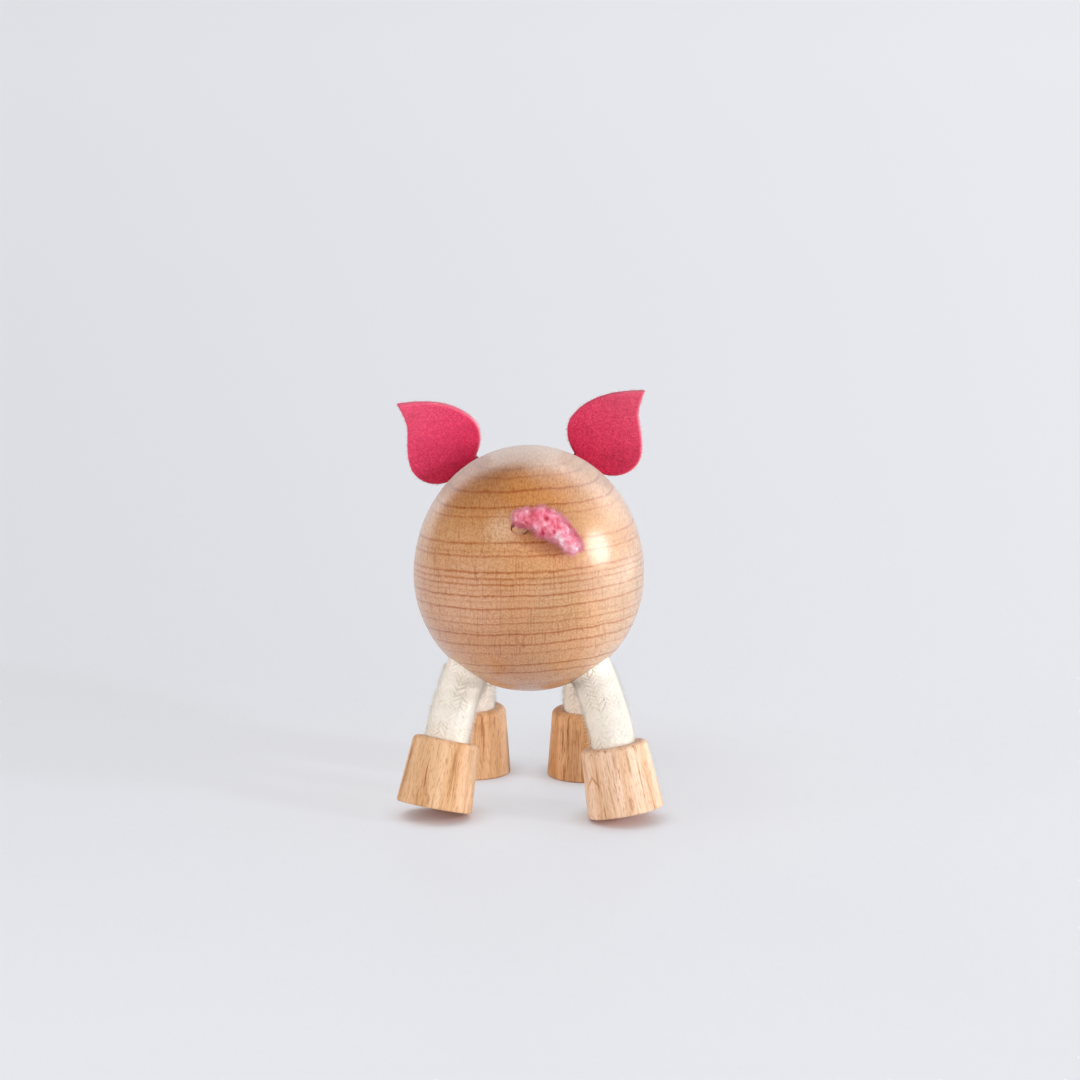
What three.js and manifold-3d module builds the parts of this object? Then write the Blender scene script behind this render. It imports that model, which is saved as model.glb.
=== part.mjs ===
// Wooden toy pig with cord legs, felt ears and a chenille tail.
// Millimetres, +Z up, the pig faces +Y and stands on the plane z = 0.
import * as THREE from 'three';
import { mergeVertices } from 'three/addons/utils/BufferGeometryUtils.js';
import Module from 'manifold-3d';

// Driving sizes: torso
const torsoRadius = 21.5;
const torsoRearLength = 30.2;
const torsoFrontLength = 46.5;
const torsoFrontPower = 2.3;
const bellyClearance = 9.1;

// Driving sizes: legs and feet
const cordDiameter = 8;
const cordSocketDepth = 9;
const wireDiameter = 1.6;
const wireEndInset = 1;
const footHeight = 12.8;
const footBottomRadius = 7.1;
const footTopRadius = 6.25;
const footTopRound = 1;
const footBottomBreak = 0.4;
const hips = {
  rear: { y: -10.3, angle: 35, lean: 23 },
  front: { y: 17.6, angle: 31, lean: 3 },
};
// How far a foot stands outwards and forwards of its hip, and how its top leans inwards and forwards
const feet = {
  rear_left: { side: -1, pair: 'rear', out: 6.01, forward: -3.7, lean: 10.7, pitch: 13 },
  rear_right: { side: 1, pair: 'rear', out: 6.41, forward: -5.3, lean: 10.5, pitch: 7.5 },
  front_left: { side: -1, pair: 'front', out: 0.16, forward: 1.2, lean: 0, pitch: 0 },
  front_right: { side: 1, pair: 'front', out: 0.06, forward: -0.8, lean: 0, pitch: 0 },
};

// Driving sizes: ears
const earLength = 17.8;
const earInnerWidth = 8.1;
const earOuterWidth = 7.4;
const earThickness = 2;
const earTabWidth = 6.8;
const earTabDepth = 4.5;
const earSetback = 18.91;
const ears = {
  left: { side: -1, angle: 40.5, lean: 45.4 },
  right: { side: 1, angle: 36.4, lean: 36.8 },
};

// Driving sizes: tail
const tailHoleDiameter = 3.6;
const tailHoleDepth = 8;
const tailHoleSide = -1.5;
const tailHoleRise = 40;
const tailPileDiameter = 4.2;
const tailWireDiameter = 1;
const tailWireOffset = 0.75;
const tailWireInset = 1;
const pileLift = 0.4;
const pegRecess = 0.5;
// The stem's route past its hole, as two joined curves: across, up along the rump, out from it
const tailStraight = 0.6;
const tailCurves = [
  [[0, 0, tailStraight], [0, 0, 2.6], [0.9, -0.7, 3.0], [2.8, -1.0, 2.9]],
  [[2.8, -1.0, 2.9], [5.6, -1.4, 2.8], [8.8, -2.9, 1.4], [10.8, -5.4, -0.6]],
];

// Driving sizes: face
const snoutRadius = 8.5;
const snoutThickness = 5;
const snoutRound = 1.4;
const nostrilDiameter = 2.6;
const nostrilDepth = 2.4;
const nostrilSpacing = 6.4;
const dowelDiameter = 5;
const dowelLength = 10;
const dowelReach = 2.1;
const eyeSetback = 9.15;
const eyeAngle = 40;
const eyeRadius = 2.1;
const eyeHeight = 1.5;
const eyeShankDiameter = 2;
const eyeShankLength = 5;

// Driving sizes: fits
const glueGap = 0.15;
const restGap = 0.1;

// Driving sizes: facets
const torsoSides = 64;
const torsoRows = 13;
const cordSides = 16;
const cordSteps = 18;
const wireSides = 6;
const footSides = 32;
const tailSides = 12;
const tailSteps = 26;
const boreSides = 24;
const eyeSides = 16;
const snoutSides = 40;
const roundSteps = 5;

// Worked-out sizes
const torsoHeight = footHeight + bellyClearance + torsoRadius;
const torsoFlat = frontStation(snoutRadius);
const snoutFace = torsoFlat + restGap + snoutThickness;
const cordRadius = cordDiameter / 2;
const socketRadius = cordRadius + glueGap;

const wasm = await Module();
wasm.setup();

const radians = THREE.MathUtils.degToRad;
const vector = (x, y, z) => new THREE.Vector3(x, y, z);

// Torso outline: an ellipse behind the widest station, a fuller curve in front of it
function torsoRadiusAt(y) {
  if (y < 0) {
    return torsoRadius * Math.sqrt(Math.max(0, 1 - (y / torsoRearLength) ** 2));
  }
  const fall = (y / torsoFrontLength) ** torsoFrontPower;
  return torsoRadius * Math.max(0, 1 - fall) ** (1 / torsoFrontPower);
}

function frontStation(radius) {
  const share = (radius / torsoRadius) ** torsoFrontPower;
  return torsoFrontLength * (1 - share) ** (1 / torsoFrontPower);
}

// A point on the torso and its outward normal; the angle is counted from straight up
function onTorso(y, angle) {
  const step = 0.01;
  const radius = torsoRadiusAt(y);
  const slope = (torsoRadiusAt(y + step) - torsoRadiusAt(y - step)) / (2 * step);
  const outward = vector(Math.sin(radians(angle)), 0, Math.cos(radians(angle)));
  const point = outward.clone().multiplyScalar(radius).setY(y);
  const normal = outward.clone().setY(-slope).normalize();
  return { point, normal };
}

// A geometry as a solid for adding and cutting
function solidFrom(geometry) {
  const bare = geometry.clone();
  bare.deleteAttribute('normal');
  bare.deleteAttribute('uv');
  const merged = mergeVertices(bare, 1e-4);
  const corners = [];
  const index = merged.index.array;
  for (let i = 0; i < index.length; i += 3) {
    const [a, b, c] = [index[i], index[i + 1], index[i + 2]];
    if (a !== b && b !== c && c !== a) {
      corners.push(a, b, c);
    }
  }
  const mesh = new wasm.Mesh({
    numProp: 3,
    vertProperties: new Float32Array(merged.attributes.position.array),
    triVerts: new Uint32Array(corners),
  });
  return new wasm.Manifold(mesh);
}

function geometryFrom(solid) {
  const mesh = solid.getMesh();
  const geometry = new THREE.BufferGeometry();
  geometry.setAttribute('position', new THREE.BufferAttribute(mesh.vertProperties, 3));
  geometry.setIndex(new THREE.BufferAttribute(mesh.triVerts, 1));
  return geometry;
}

function cut(geometry, tools) {
  let solid = solidFrom(geometry);
  for (const tool of tools) {
    solid = solid.subtract(solidFrom(tool));
  }
  return geometryFrom(solid);
}

// A frame with its Z axis along a direction and its Y axis as near as can be to a second one
function frameAlong(origin, zAxis, yHint) {
  const z = zAxis.clone().normalize();
  const x = yHint.clone().cross(z).normalize();
  const y = z.clone().cross(x);
  return new THREE.Matrix4().makeBasis(x, y, z).setPosition(origin);
}

function rodAlong(start, end, radius, sides) {
  const axis = end.clone().sub(start);
  const rod = new THREE.CylinderGeometry(radius, radius, axis.length(), sides);
  rod.rotateX(Math.PI / 2);
  rod.translate(0, 0, axis.length() / 2);
  rod.applyMatrix4(frameAlong(start, axis, vector(0.31, 0.83, 0.46)));
  return rod;
}

function ringShape(outer, inner, outerSides, innerSides) {
  const circle = (radius, sides) => Array.from({ length: sides }, (_, i) => {
    const turn = (i / sides) * 2 * Math.PI;
    return new THREE.Vector2(radius * Math.cos(turn), radius * Math.sin(turn));
  });
  const shape = new THREE.Shape(circle(outer, outerSides));
  if (inner > 0) {
    shape.holes.push(new THREE.Path(circle(inner, innerSides).reverse()));
  }
  return shape;
}

function sweep(shape, path, steps) {
  return new THREE.ExtrudeGeometry(shape, { steps, extrudePath: path, bevelEnabled: false });
}

// Feet: each stands on the lowest point of its rim
function footFrame(foot) {
  const lean = new THREE.Matrix4().makeRotationY(radians(-foot.side * foot.lean));
  const pitch = new THREE.Matrix4().makeRotationX(radians(-foot.pitch));
  const turn = pitch.multiply(lean);
  const axis = vector(0, 0, 1).transformDirection(turn);
  const tilt = Math.acos(Math.min(1, axis.z));
  const soleRadius = footBottomRadius - footBottomBreak;
  const drop = Math.max(
    soleRadius * Math.sin(tilt),
    footBottomRadius * Math.sin(tilt) - footBottomBreak * Math.cos(tilt),
  );
  const hip = hipFrame(foot).mouth;
  const base = vector(hip.x + foot.side * foot.out, hip.y + foot.forward, drop - torsoHeight);
  return { base, axis, top: base.clone().addScaledVector(axis, footHeight), turn };
}

function footGeometry(foot) {
  const profile = [
    new THREE.Vector2(0, 0),
    new THREE.Vector2(footBottomRadius - footBottomBreak, 0),
    new THREE.Vector2(footBottomRadius, footBottomBreak),
  ];
  for (let i = 0; i <= roundSteps; i += 1) {
    const turn = (i / roundSteps) * Math.PI / 2;
    profile.push(new THREE.Vector2(
      footTopRadius - footTopRound * (1 - Math.cos(turn)),
      footHeight - footTopRound * (1 - Math.sin(turn)),
    ));
  }
  profile.push(new THREE.Vector2(socketRadius, footHeight));
  profile.push(new THREE.Vector2(socketRadius, footHeight - cordSocketDepth));
  profile.push(new THREE.Vector2(0, footHeight - cordSocketDepth));
  const geometry = new THREE.LatheGeometry(profile, footSides);
  geometry.rotateX(Math.PI / 2);
  const frame = footFrame(foot);
  geometry.applyMatrix4(frame.turn);
  geometry.translate(...frame.base.toArray());
  return geometry;
}

// Legs: one cord from the bottom of the torso's socket to the bottom of the foot's
function hipFrame(foot) {
  const hip = hips[foot.pair];
  const { point } = onTorso(hip.y, foot.side * (180 - hip.angle));
  const lean = radians(foot.side * hip.lean);
  return { mouth: point, down: vector(Math.sin(lean), 0, -Math.cos(lean)) };
}

function legPath(foot, inset) {
  const hip = hipFrame(foot);
  const sole = footFrame(foot);
  const reach = hip.mouth.distanceTo(sole.top) / 3;
  const held = cordSocketDepth - restGap - inset;
  const start = hip.mouth.clone().addScaledVector(hip.down, -held);
  const end = sole.top.clone().addScaledVector(sole.axis, -held);
  const path = new THREE.CurvePath();
  path.add(new THREE.LineCurve3(start, hip.mouth));
  path.add(new THREE.CubicBezierCurve3(
    hip.mouth,
    hip.mouth.clone().addScaledVector(hip.down, reach),
    sole.top.clone().addScaledVector(sole.axis, reach),
    sole.top,
  ));
  path.add(new THREE.LineCurve3(sole.top, end));
  return path;
}

function legCordGeometry(foot) {
  const bore = wireDiameter / 2 + glueGap;
  return sweep(ringShape(cordRadius, bore, cordSides, wireSides), legPath(foot, 0), cordSteps);
}

function legWireGeometry(foot) {
  const shape = ringShape(wireDiameter / 2, 0, wireSides, 0);
  return sweep(shape, legPath(foot, wireEndInset), cordSteps);
}

// Ears: a felt leaf whose root tab sits in a sawn slot across the torso
function earFrame(ear) {
  const { point } = onTorso(torsoFlat - earSetback, ear.side * ear.angle);
  const lean = radians(ear.lean);
  const along = vector(ear.side * Math.sin(lean), 0, Math.cos(lean));
  const inward = vector(-ear.side * Math.cos(lean), 0, Math.sin(lean));
  const across = inward.clone().cross(along);
  return new THREE.Matrix4().makeBasis(inward, along, across).setPosition(point);
}

function earGeometry(ear) {
  const half = earTabWidth / 2;
  const length = earLength;
  const inner = earInnerWidth;
  const outer = earOuterWidth;
  const widest = 0.31 * length;
  const root = 0.01 * length;
  const leaf = new THREE.Shape();
  leaf.moveTo(-half, restGap - earTabDepth);
  leaf.lineTo(half, restGap - earTabDepth);
  leaf.lineTo(half, root);
  leaf.bezierCurveTo(0.66 * inner, 0.05 * length, inner, 0.15 * length, inner, widest);
  leaf.bezierCurveTo(inner, 0.62 * length, 0.44 * inner, 0.855 * length, 0, length);
  leaf.bezierCurveTo(
    -0.07 * outer, 0.91 * length, -0.13 * outer, 0.81 * length, -0.27 * outer, 0.74 * length,
  );
  leaf.bezierCurveTo(-0.54 * outer, 0.62 * length, -outer, 0.48 * length, -outer, widest);
  leaf.bezierCurveTo(-outer, 0.15 * length, -0.7 * outer, 0.05 * length, -half, root);
  leaf.lineTo(-half, restGap - earTabDepth);
  const options = { depth: earThickness, bevelEnabled: false, curveSegments: 8 };
  const geometry = new THREE.ExtrudeGeometry(leaf, options);
  geometry.translate(0, 0, -earThickness / 2);
  geometry.applyMatrix4(earFrame(ear));
  return geometry;
}

function earSlot(ear) {
  const reach = earTabDepth;
  const slot = new THREE.BoxGeometry(
    earTabWidth + 2 * glueGap,
    earTabDepth + reach,
    earThickness + 2 * glueGap,
  );
  slot.translate(0, (reach - earTabDepth) / 2, 0);
  slot.applyMatrix4(earFrame(ear));
  return slot;
}

// Tail: a plug in a drilled hole holds the stem's wire, the pile covers the rest of it
function tailFrame() {
  const rise = radians(tailHoleRise);
  const y = -torsoRearLength * Math.cos(rise);
  const angle = THREE.MathUtils.radToDeg(Math.asin(tailHoleSide / torsoRadiusAt(y)));
  const { point, normal } = onTorso(y, angle);
  return frameAlong(point, normal, vector(0, 0, 1));
}

function tailHole() {
  const radius = tailHoleDiameter / 2;
  const tool = new THREE.CylinderGeometry(radius, radius, 2 * tailHoleDepth, boreSides);
  tool.rotateX(Math.PI / 2);
  tool.applyMatrix4(tailFrame());
  return tool;
}

function tailPegGeometry() {
  const shape = ringShape(tailHoleDiameter / 2 - glueGap, 0, boreSides, 0);
  const bore = ringShape(tailWireDiameter / 2 + glueGap, 0, wireSides, 0).getPoints();
  const moved = bore.map((p) => new THREE.Vector2(p.x, p.y + tailWireOffset));
  shape.holes.push(new THREE.Path(moved.reverse()));
  const length = tailHoleDepth - restGap - pegRecess;
  const geometry = new THREE.ExtrudeGeometry(shape, { depth: length, bevelEnabled: false });
  geometry.translate(0, 0, restGap - tailHoleDepth);
  geometry.applyMatrix4(tailFrame());
  return geometry;
}

function tailPath(startHeight) {
  const frame = tailFrame();
  const place = ([across, up, out]) => vector(across, up + tailWireOffset, out).applyMatrix4(frame);
  const path = new THREE.CurvePath();
  path.add(new THREE.LineCurve3(place([0, 0, startHeight]), place([0, 0, tailStraight])));
  for (const points of tailCurves) {
    path.add(new THREE.CubicBezierCurve3(...points.map(place)));
  }
  return path;
}

function tailPileGeometry() {
  const bore = tailWireDiameter / 2 + glueGap;
  const shape = ringShape(tailPileDiameter / 2, bore, tailSides, wireSides);
  return sweep(shape, tailPath(pileLift), tailSteps);
}

function tailWireGeometry() {
  const shape = ringShape(tailWireDiameter / 2, 0, wireSides, 0);
  return sweep(shape, tailPath(tailWireInset - tailHoleDepth), tailSteps);
}

// Face: a snout disc on a dowel and two pegs for eyes
function snoutGeometry() {
  const back = torsoFlat + restGap;
  const profile = [new THREE.Vector2(0, back), new THREE.Vector2(snoutRadius, back)];
  for (let i = 0; i <= roundSteps; i += 1) {
    const turn = (i / roundSteps) * Math.PI / 2;
    profile.push(new THREE.Vector2(
      snoutRadius - snoutRound * (1 - Math.cos(turn)),
      snoutFace - snoutRound * (1 - Math.sin(turn)),
    ));
  }
  profile.push(new THREE.Vector2(0, snoutFace));
  const disc = new THREE.LatheGeometry(profile, snoutSides);
  const nostrils = [-1, 1].map((side) => rodAlong(
    vector(side * nostrilSpacing / 2, snoutFace - nostrilDepth, 0),
    vector(side * nostrilSpacing / 2, snoutFace + nostrilDepth, 0),
    nostrilDiameter / 2,
    eyeSides,
  ));
  return cut(disc, [...nostrils, dowelHole()]);
}

function dowelSpan(extra) {
  const end = torsoFlat + dowelReach;
  return [vector(0, end - dowelLength - extra, 0), vector(0, end + extra, 0)];
}

function dowelHole() {
  return rodAlong(...dowelSpan(restGap), dowelDiameter / 2 + glueGap, boreSides);
}

function dowelGeometry() {
  return rodAlong(...dowelSpan(0), dowelDiameter / 2, boreSides);
}

function eyeFrame(side) {
  return onTorso(torsoFlat - eyeSetback, side * eyeAngle);
}

function eyeGeometry(side) {
  const shank = eyeShankDiameter / 2;
  const profile = [
    new THREE.Vector2(0, -eyeShankLength),
    new THREE.Vector2(shank, -eyeShankLength),
    new THREE.Vector2(shank, restGap),
  ];
  for (let i = 0; i <= roundSteps; i += 1) {
    const turn = (i / roundSteps) * Math.PI / 2;
    profile.push(new THREE.Vector2(eyeRadius * Math.cos(turn), restGap + eyeHeight * Math.sin(turn)));
  }
  profile[profile.length - 1].x = 0;
  const geometry = new THREE.LatheGeometry(profile, eyeSides);
  geometry.rotateX(Math.PI / 2);
  const { point, normal } = eyeFrame(side);
  geometry.applyMatrix4(frameAlong(point, normal, vector(0, 1, 0)));
  return geometry;
}

function eyeHole(side) {
  const { point, normal } = eyeFrame(side);
  const start = point.clone().addScaledVector(normal, -eyeShankLength - restGap);
  const end = point.clone().addScaledVector(normal, eyeShankLength);
  return rodAlong(start, end, eyeShankDiameter / 2 + glueGap, eyeSides);
}

// Torso: the turned egg with every socket and slot cut
function torsoGeometry() {
  const profile = [];
  for (let i = 0; i < torsoRows; i += 1) {
    const turn = (i / torsoRows) * Math.PI / 2;
    profile.push(new THREE.Vector2(torsoRadius * Math.sin(turn), -torsoRearLength * Math.cos(turn)));
  }
  const power = 2 / torsoFrontPower;
  const lastTurn = Math.acos((snoutRadius / torsoRadius) ** (1 / power));
  for (let i = 0; i <= torsoRows; i += 1) {
    const turn = (i / torsoRows) * lastTurn;
    const radius = torsoRadius * Math.cos(turn) ** power;
    profile.push(new THREE.Vector2(radius, torsoFrontLength * Math.sin(turn) ** power));
  }
  profile.push(new THREE.Vector2(0, torsoFlat));
  const egg = new THREE.LatheGeometry(profile, torsoSides);
  const sockets = Object.values(feet).map((foot) => {
    const { mouth, down } = hipFrame(foot);
    const start = mouth.clone().addScaledVector(down, -cordSocketDepth);
    const end = mouth.clone().addScaledVector(down, cordDiameter);
    return rodAlong(start, end, socketRadius, boreSides);
  });
  const slots = Object.values(ears).map(earSlot);
  return cut(egg, [...sockets, ...slots, tailHole(), dowelHole(), eyeHole(-1), eyeHole(1)]);
}

// Materials
const finishes = {
  lacqueredWood: { color: 0xc9986b, roughness: 0.25 },
  plainWood: { color: 0xd3a77b, roughness: 0.6 },
  stainedWood: { color: 0xd98a8f, roughness: 0.4 },
  cotton: { color: 0xeae3d3, roughness: 0.95 },
  felt: { color: 0xd23a5e, roughness: 1 },
  chenille: { color: 0xe7a3ae, roughness: 1 },
  steel: { color: 0x9a9a9c, roughness: 0.4, metalness: 1 },
  black: { color: 0x17161a, roughness: 0.2 },
};

// Assembly
const group = new THREE.Group();
group.name = 'wooden_toy_pig';

function add(name, geometry, finish) {
  const bare = geometry.clone();
  bare.deleteAttribute('uv');
  bare.deleteAttribute('normal');
  const welded = mergeVertices(bare, 1e-4);
  welded.computeVertexNormals();
  const mesh = new THREE.Mesh(welded, new THREE.MeshStandardMaterial(finishes[finish]));
  mesh.name = name;
  group.add(mesh);
}

add('torso', torsoGeometry(), 'lacqueredWood');
for (const [name, foot] of Object.entries(feet)) {
  add(`${name}_leg_cord`, legCordGeometry(foot), 'cotton');
  add(`${name}_leg_wire`, legWireGeometry(foot), 'steel');
  add(`${name}_foot`, footGeometry(foot), 'plainWood');
}
for (const [name, ear] of Object.entries(ears)) {
  add(`${name}_ear`, earGeometry(ear), 'felt');
}
add('tail_peg', tailPegGeometry(), 'plainWood');
add('tail_wire', tailWireGeometry(), 'steel');
add('tail_pile', tailPileGeometry(), 'chenille');
add('snout_dowel', dowelGeometry(), 'plainWood');
add('snout', snoutGeometry(), 'stainedWood');
add('left_eye', eyeGeometry(-1), 'black');
add('right_eye', eyeGeometry(1), 'black');

// The origin goes to the floor, under the middle of the whole length
const box = new THREE.Box3().setFromObject(group);
const middle = (box.min.y + box.max.y) / 2;
for (const mesh of group.children) {
  mesh.geometry.translate(0, -middle, torsoHeight);
}

export default group;
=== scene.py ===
import math

import bpy
import numpy as np
from mathutils import Matrix, Vector, geometry, noise


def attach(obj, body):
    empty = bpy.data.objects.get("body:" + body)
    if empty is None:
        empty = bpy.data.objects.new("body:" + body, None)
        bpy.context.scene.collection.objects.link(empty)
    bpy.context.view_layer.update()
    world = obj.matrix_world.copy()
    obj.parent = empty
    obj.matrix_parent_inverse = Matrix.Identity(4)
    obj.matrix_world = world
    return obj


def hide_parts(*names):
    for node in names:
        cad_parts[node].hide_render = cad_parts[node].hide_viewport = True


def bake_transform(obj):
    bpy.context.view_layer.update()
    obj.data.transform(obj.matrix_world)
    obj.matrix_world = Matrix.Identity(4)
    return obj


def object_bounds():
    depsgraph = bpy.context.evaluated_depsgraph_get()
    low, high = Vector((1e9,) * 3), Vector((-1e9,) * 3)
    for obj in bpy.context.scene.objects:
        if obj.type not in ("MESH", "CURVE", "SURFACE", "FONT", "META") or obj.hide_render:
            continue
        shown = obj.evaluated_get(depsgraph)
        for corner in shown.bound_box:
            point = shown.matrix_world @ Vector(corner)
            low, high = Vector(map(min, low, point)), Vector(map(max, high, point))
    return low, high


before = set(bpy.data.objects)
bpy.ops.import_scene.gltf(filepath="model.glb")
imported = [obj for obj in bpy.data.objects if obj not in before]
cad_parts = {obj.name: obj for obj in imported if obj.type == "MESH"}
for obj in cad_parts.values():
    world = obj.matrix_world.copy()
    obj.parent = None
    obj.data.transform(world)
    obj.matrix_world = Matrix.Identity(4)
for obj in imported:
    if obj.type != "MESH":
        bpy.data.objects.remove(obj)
cad_low, cad_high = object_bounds()

MM = 0.001

# Sizes of the construction: torso
TORSO_RADIUS = 21.5
TORSO_REAR_LENGTH = 30.2
TORSO_FRONT_LENGTH = 46.5
TORSO_FRONT_POWER = 2.3
BELLY_CLEARANCE = 9.1

# Sizes of the construction: legs and feet
CORD_RADIUS = 4.0
SOCKET_DEPTH = 9.0
WIRE_RADIUS = 0.8
WIRE_INSET = 1.0
FOOT_HEIGHT = 12.8
FOOT_BOTTOM_RADIUS = 7.1
FOOT_TOP_RADIUS = 6.25
FOOT_TOP_ROUND = 1.0
FOOT_BOTTOM_BREAK = 0.4
HIPS = {
    "rear": {"y": -10.3, "angle": 35, "lean": 23},
    "front": {"y": 17.6, "angle": 31, "lean": 3},
}
FEET = {
    "rear_left": {"side": -1, "pair": "rear", "out": 6.01, "forward": -3.7, "lean": 10.7, "pitch": 13},
    "rear_right": {"side": 1, "pair": "rear", "out": 6.41, "forward": -5.3, "lean": 10.5, "pitch": 7.5},
    "front_left": {"side": -1, "pair": "front", "out": 0.16, "forward": 1.2, "lean": 0, "pitch": 0},
    "front_right": {"side": 1, "pair": "front", "out": 0.06, "forward": -0.8, "lean": 0, "pitch": 0},
}

# Sizes of the construction: ears
EAR_LENGTH = 17.8
EAR_INNER_WIDTH = 8.1
EAR_OUTER_WIDTH = 7.4
EAR_THICKNESS = 2.0
EAR_TAB_WIDTH = 6.8
EAR_TAB_DEPTH = 4.5
EAR_SETBACK = 18.91
EARS = {
    "left": {"side": -1, "angle": 40.5, "lean": 45.4},
    "right": {"side": 1, "angle": 36.4, "lean": 36.8},
}

# Sizes of the construction: tail
TAIL_HOLE_RADIUS = 1.8
TAIL_HOLE_DEPTH = 8.0
TAIL_HOLE_SIDE = -1.5
TAIL_HOLE_RISE = 40
TAIL_WIRE_RADIUS = 0.5
TAIL_WIRE_OFFSET = 0.75
TAIL_WIRE_INSET = 1.0
PILE_LIFT = 0.4
PEG_RECESS = 0.5
TAIL_STRAIGHT = 0.6
TAIL_CURVES = [
    [(0, 0, TAIL_STRAIGHT), (0, 0, 2.6), (0.9, -0.7, 3.0), (2.8, -1.0, 2.9)],
    [(2.8, -1.0, 2.9), (5.6, -1.4, 2.8), (8.8, -2.9, 1.4), (10.8, -5.4, -0.6)],
]

# Sizes of the construction: face
SNOUT_RADIUS = 8.5
SNOUT_THICKNESS = 5.0
SNOUT_ROUND = 1.4
NOSTRIL_RADIUS = 1.3
NOSTRIL_DEPTH = 2.4
NOSTRIL_SPACING = 6.4
DOWEL_RADIUS = 2.5
DOWEL_LENGTH = 10.0
DOWEL_REACH = 2.1
EYE_SETBACK = 9.15
EYE_ANGLE = 40
EYE_RADIUS = 2.1
EYE_HEIGHT = 1.5
EYE_SHANK_RADIUS = 1.0
EYE_SHANK_LENGTH = 5.0

# Sizes of the construction: fits
GLUE_GAP = 0.15
REST_GAP = 0.1

# Worked-out sizes
TORSO_HEIGHT = FOOT_HEIGHT + BELLY_CLEARANCE + TORSO_RADIUS
TORSO_FLAT = TORSO_FRONT_LENGTH * (
    1 - (SNOUT_RADIUS / TORSO_RADIUS) ** TORSO_FRONT_POWER
) ** (1 / TORSO_FRONT_POWER)
SNOUT_FACE = TORSO_FLAT + REST_GAP + SNOUT_THICKNESS
SOCKET_RADIUS = CORD_RADIUS + GLUE_GAP
# The torso's middle in the shared frame: the snout's face is the front end of the whole
PLACE = np.array([0, cad_high.y / MM - SNOUT_FACE, TORSO_HEIGHT])

# Turned pieces: rows and points round them, and small edges that the construction leaves sharp
TURN_TO_Y = np.array([[1, 0, 0], [0, 0, 1], [0, -1, 0]], float)
ANY_WAY = (0.31, 0.83, 0.46)
CURVE_STEPS = 200
TORSO_ROWS = 84
TORSO_SIDES = 256
FOOT_ROWS = 12
FOOT_SIDES = 144
FOOT_RIM = 0.15
HOLE_SIDES = 72
PEG_SIDES = 64
PEG_EDGE = 0.25
PEG_BORE_SIDES = 32
SNOUT_SIDES = 144
SNOUT_EDGE = 0.4
NOSTRIL_SIDES = 64
DOWEL_SIDES = 48
DOWEL_EDGE = 0.3
EYE_ROWS = 17
EYE_SIDES = 64
# Broken places at the tail plug's rim: angle as seen from behind, and half their width
PEG_CHIPS = [(155, 36), (318, 28)]
PEG_CHIP_DEPTH = 0.7
PEG_CHIP_INWARD = 0.2

# Cords: a herringbone braid of yarns in columns, finely drawn where it shows
BRAID_COLUMNS = 18
BRAID_SAMPLES = 14
BRAID_WIDTH = 2 * math.pi * CORD_RADIUS / BRAID_COLUMNS
BRAID_PITCH = 1.02
BRAID_SLANT = 1.25
BRAID_OFFSET = 0.25
BRAID_UNEVEN = 0.12
BRAID_DEPTH = 0.2
BRAID_STEP = 0.09
BRAID_SHOWN = 0.7
BRAID_PATCHY = 0.9
BRAID_FAINTEST = 0.22
# Layers of noise by size and strength: how uneven the yarns run, and where the braid shows less
CORD_UNEVEN = [(2.2, 0.45), (0.8, 0.25)]
CORD_PATCHES = [(2.6, 1.0), (0.9, 0.5)]
CORD_LUMP_SIZE = 1.3
CORD_LUMPS = 0.05
BORE_SHADE = 0.3
HAIR_SHADE = 0.95
HIDDEN_STEP = 0.6
SEEN_INSIDE = 1.5
WIRE_ROWS = 81
WIRE_SIDES = 20

# Ears: cut edges, fineness of the mesh, sizes and strengths of the felt's lumps, and how far up they bend
EAR_ROUND = 0.45
EAR_GRAIN = 0.19
EAR_JITTER = 0.03
EAR_LUMPS = [(0.45, 0.05), (1.6, 0.05)]
EAR_SIDES_APART = 9.0
EAR_WALL_ROWS = 5

# Tail: half the pile's width by the share of the stem's length
PILE_SHAPE = np.array([
    (0, 1.15), (0.1, 1.6), (0.27, 1.8), (0.36, 2.4), (0.45, 2.95), (0.58, 2.75), (0.7, 2.35), (0.82, 2.1),
    (0.92, 1.85), (0.98, 1.45), (1, 0.9),
])
PILE_SHARE = 0.82
PILE_ROWS = 150
PILE_ROUND = 72
PILE_SEED = 7
# Sizes and strengths of the pile's lumps, how high they stand and how they change its tone, which is painted
# light and shade
PILE_LUMPS = [(1.5, 0.55), (0.7, 0.4), (0.3, 0.3)]
PILE_LUMP_HEIGHT = 0.28
PILE_TONE = 0.55
PILE_TONE_SPREAD = 0.75
# Swells of the pile: share of the stem's length, way they face, size and height
PILE_SWELLS = [
    (0.42, (-0.1, -0.5, 0.85), 1.2, 0.75), (0.44, (-0.3, -0.6, -0.75), 1.1, 0.5),
    (0.72, (0.5, -0.6, 0.6), 0.8, 0.3), (0.2, (0.0, -0.7, 0.7), 0.7, 0.25),
    (0.85, (-0.5, -0.6, -0.6), 0.7, 0.25),
]
# Marks on the pile: share of the stem's length, way they face, size and change of tone; pale ones stand out
# as painted highlights and dark ones sink as painted shade
PILE_MARK_HEIGHT = 0.8
PILE_LIGHT_AND_SHADE_MARKS = [
    (0.67, (-0.25, -0.85, -0.45), 0.75, 0.8), (0.73, (-0.2, -0.85, -0.5), 0.6, 0.6),
    (0.33, (-0.1, -0.9, -0.45), 0.55, 0.45), (0.95, (0.0, -0.95, -0.2), 1.3, 0.35),
    (0.47, (0.0, -0.85, 0.45), 0.45, -0.7), (0.22, (0.0, -0.85, -0.5), 0.45, -0.5),
    (0.44, (0.0, -0.75, -0.65), 0.45, -0.5), (0.58, (0.0, -0.97, -0.2), 0.45, -0.5),
    (0.85, (0.25, -0.9, 0.3), 0.4, -0.45), (0.36, (0.0, -0.9, 0.5), 0.4, -0.4),
]
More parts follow.
